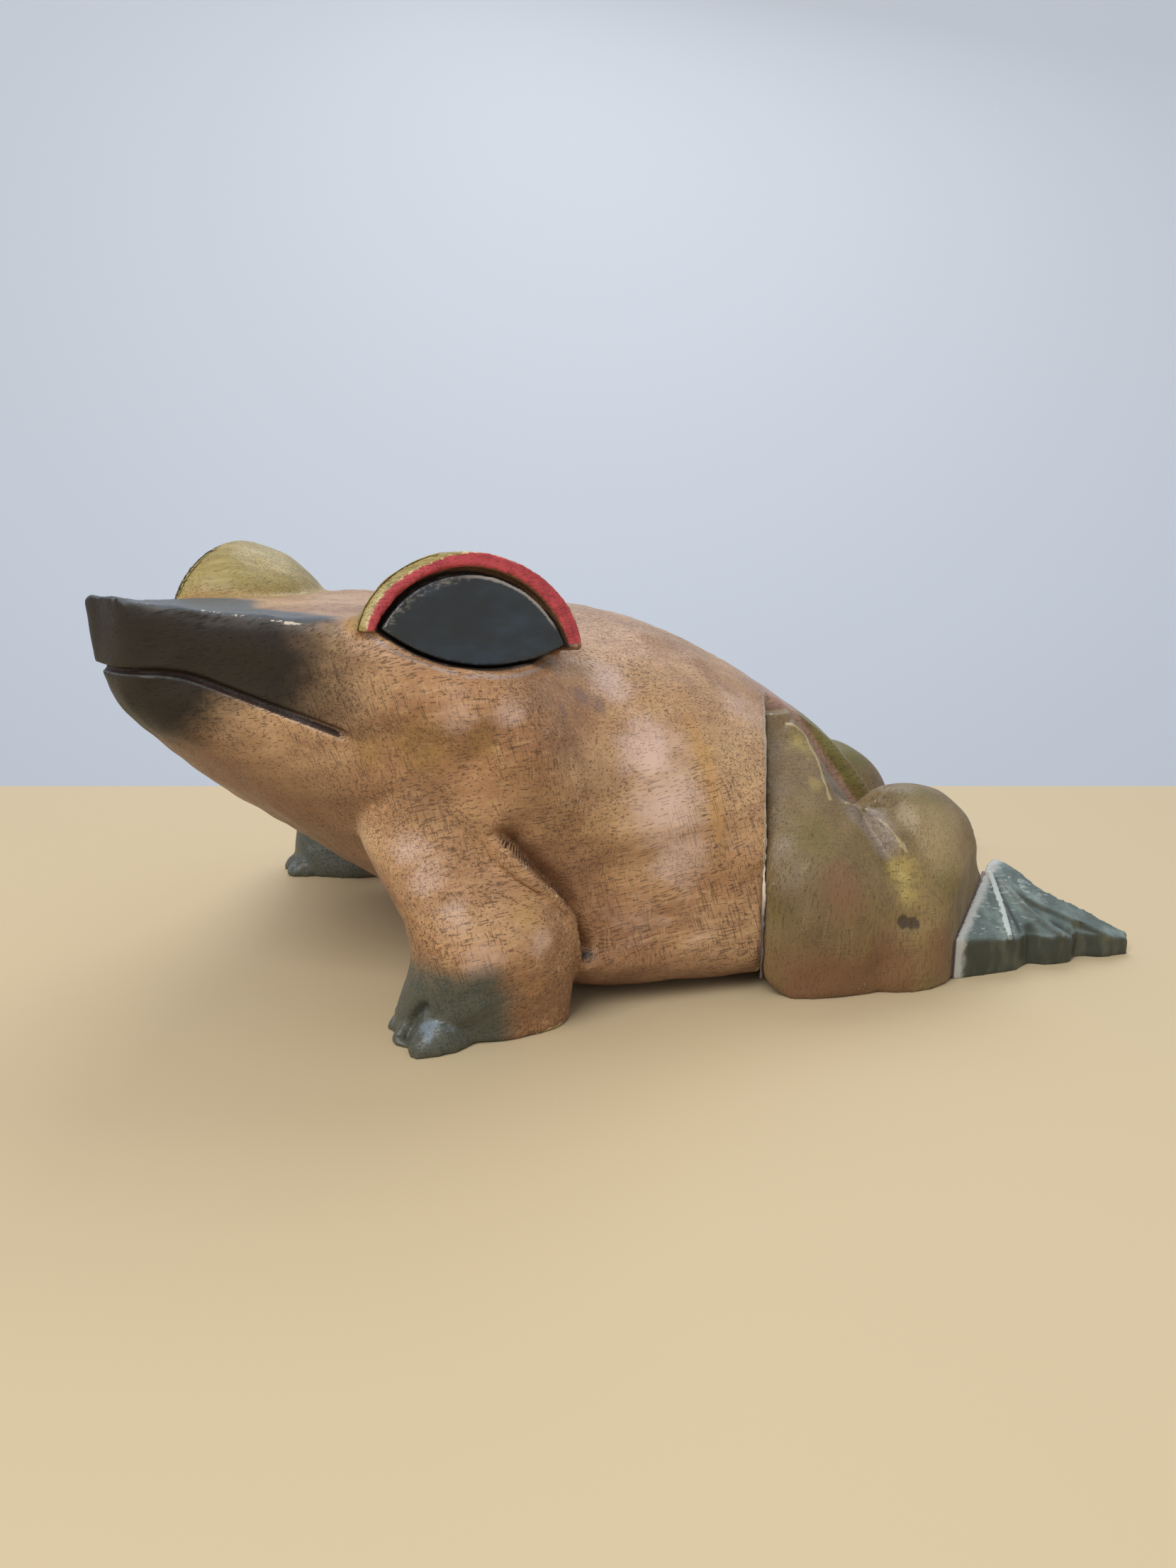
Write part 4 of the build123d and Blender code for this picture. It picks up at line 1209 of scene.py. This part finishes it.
def makeBead():
    bead, given, made = newGroup("fillerBead", "GeometryNodeTree", [
        ("Geometry", "Geometry", None), ("Radius", "Float", beadLook["radius"] * mm),
        ("Wander", "Float", beadLook["wander"] * mm), ("Step", "Float", beadLook["step"] * mm),
        ("Seed", "Float", 0.0), ("Material", "Material", None),
    ], [("Geometry", "Geometry", None)])
    line = add("GeometryNodeMeshToCurve", {"Mesh": given["Geometry"]}).outputs[0]
    inputs = {"Curve": line, "Length": given["Step"]}
    line = add("GeometryNodeResampleCurve", inputs, mode="LENGTH").outputs[0]
    place = add("GeometryNodeInputPosition").outputs[0]
    inputs = {"Vector": place, "W": given["Seed"], "Scale": 260.0, "Detail": 2.0}
    rough = add("ShaderNodeTexNoise", inputs, noise_dimensions="4D").outputs
    centred = vectorOf("SUBTRACT", rough["Color"], (0.5, 0.5, 0.5))
    offset = add("ShaderNodeVectorMath", {0: centred}, operation="SCALE")
    give(offset.inputs["Scale"], given["Wander"])
    line = add("GeometryNodeSetPosition", {"Geometry": line, "Offset": offset.outputs[0]}).outputs[0]
    width = times(between(rough["Fac"], 0.35, 0.65, 0.45, 1.35), given["Radius"])
    circle = add("GeometryNodeCurvePrimitiveCircle", {"Resolution": 8, "Radius": 1.0}).outputs[0]
    inputs = {"Curve": line, "Profile Curve": circle, "Scale": width, "Fill Caps": True}
    tube = add("GeometryNodeCurveToMesh", inputs).outputs[0]
    tube = add("GeometryNodeRealizeInstances", {"Geometry": tube}).outputs[0]
    inputs = {"Geometry": tube, "Material": given["Material"]}
    give(made[0], add("GeometryNodeSetMaterial", inputs).outputs[0])
    return bead


def beadMaterial():
    paint = newMaterial("pale_seam_filler", beadPaint)
    broken = noise(2.2, (1, 1, 1), 3, 0.65)
    bench["color"] = paint["pale"]
    lay(between(broken, 0.42, 0.66), "rosyTintAndSheen")
    height = add("ShaderNodeSeparateXYZ", {0: bench["place"]}).outputs["Z"]
    # the bead is darker lower down, as painted shade
    lay(between(plus(height, times(broken, 14)), 28, 42, 1.0, 0.0), "dark")
    return finishWith(0.62, broken, 0.1)


def layBead(name, path, seed, tree, material):
    piece = newObject(name, bpy.data.meshes.new(name))
    piece.data.from_pydata(inScene(path), [(i, i + 1) for i in range(len(path) - 1)], [])
    lay = piece.modifiers.new("bead", "NODES")
    lay.node_group = tree
    for item in tree.interface.items_tree:
        if item.name == "Seed" and item.in_out == "INPUT":
            lay[item.identifier] = seed
        if item.name == "Material" and item.in_out == "INPUT":
            lay[item.identifier] = material
    return applied(piece, lay)


# Each seam: its pieces, a middle on it, the way along it, how far off it is read, and the sweep of angles
beadTree, beadSkin = makeBead(), beadMaterial()
ankleMiddle = heel + ankleAlong * 31
seams = (
    ("hip", "leg_wood", legs, hipCorner, hipAlong, hipAcross * 1.2, (2, 60, 36)),
    ("ankle", "foot_wood", feet, ankleMiddle, -ankleAlong, ankleAcross, (1, 92, 40)),
)
for side in ("left", "right"):
    for name, slot, pieces, middle, along, shift, sweep in seams:
        path = roundSeam(rayTree(pieces[side].data, side), middle, along, shift, *sweep)
        path = asLeft(path, side, plan["rightSetback"])
        laid = layBead(side + "_" + name + "_filler", path, beadLook[name + "Seed"], beadTree, beadSkin)
        finishPiece(laid, beadSkin)


# Dowels, hidden in the joints
dowelPaint = dict(light="d9b98a", middle="c9a473", dark="a98352", pore="7a5a38")


def dowelMaterial():
    newMaterial("pale_beech_dowel", dowelPaint)
    wood = grained((0, 0, 19), pores=0.4, scratches=0.3, figure=0.5)
    return finishWith(plus(0.5, wood["Dull"]), wood["Height"], 0.15)


dowelSkin = dowelMaterial()
for side in ("left", "right"):
    for name in ("_hip_dowels", "_foot_dowel"):
        for slot in nodes[side + name].material_slots:
            slot.material = dowelSkin


# Table, wall and daylight
stageLook = dict(
    tableEdge=583.0, tableReach=1600, table="cdb995",
    wallAway=1900.0, wallReach=3200, wallTop=2200, wall="e4eaf3",
    windowAt=(-0.8, -0.9, 1.2), windowSize=0.9, window=17.0, windowColor=(1.0, 0.98, 0.95),
    skyAt=(0.35, 0.8, 1.3), skySize=1.0, sky=9.0, skyColor=(0.95, 0.97, 1.0),
    fill=0.55, fillColor=(0.90, 0.94, 1.0, 1),
)


def plainMaterial(name, code, roughness):
    bench["color"] = newMaterial(name, dict(plain=code))["plain"]
    return finishWith(roughness, specular=0.3)


# A flat sheet across the view, from one distance ahead of the camera and height to another
def sheet(name, near, far, reach, material):
    ahead = unit(viewForward * (1, 1, 0))
    eyeFoot = np.array(view["eye"]) * (1, 1, 0)
    corners = [eyeFoot + ahead * place[0] + viewRight * across + np.array((0, 0, place[1]))
               for place, across in ((near, -reach), (near, reach), (far, reach), (far, -reach))]
    piece = newObject(name, bpy.data.meshes.new(name))
    piece.data.from_pydata(inScene(corners), [], [(0, 1, 2, 3)])
    shade(piece, material)


def areaLight(name):
    lamp = newObject(name, bpy.data.lights.new(name, "AREA"))
    lamp.data.energy, lamp.data.size = stageLook[name], stageLook[name + "Size"]
    lamp.data.color, lamp.location = stageLook[name + "Color"], stageLook[name + "At"]
    lamp.rotation_euler = (Vector((0, 0, 0.06)) - lamp.location).to_track_quat("-Z", "Y").to_euler()


def makeStage():
    tableSkin = plainMaterial("pale_table", stageLook["table"], 0.6)
    wallSkin = plainMaterial("pale_wall", stageLook["wall"], 0.8)
    away = stageLook["wallAway"]
    sheet("table", (-900, 0), (stageLook["tableEdge"], 0), stageLook["tableReach"], tableSkin)
    sheet("wall", (away, -900), (away, stageLook["wallTop"]), stageLook["wallReach"], wallSkin)
    areaLight("window")
    areaLight("sky")
    world = bpy.data.worlds.new("room")
    world.use_nodes = True
    light = world.node_tree.nodes["Background"].inputs
    light["Color"].default_value, light["Strength"].default_value = stageLook["fillColor"], stageLook["fill"]
    scene.world = world


makeStage()
print("stage set")
scene.view_settings.view_transform = "Standard"
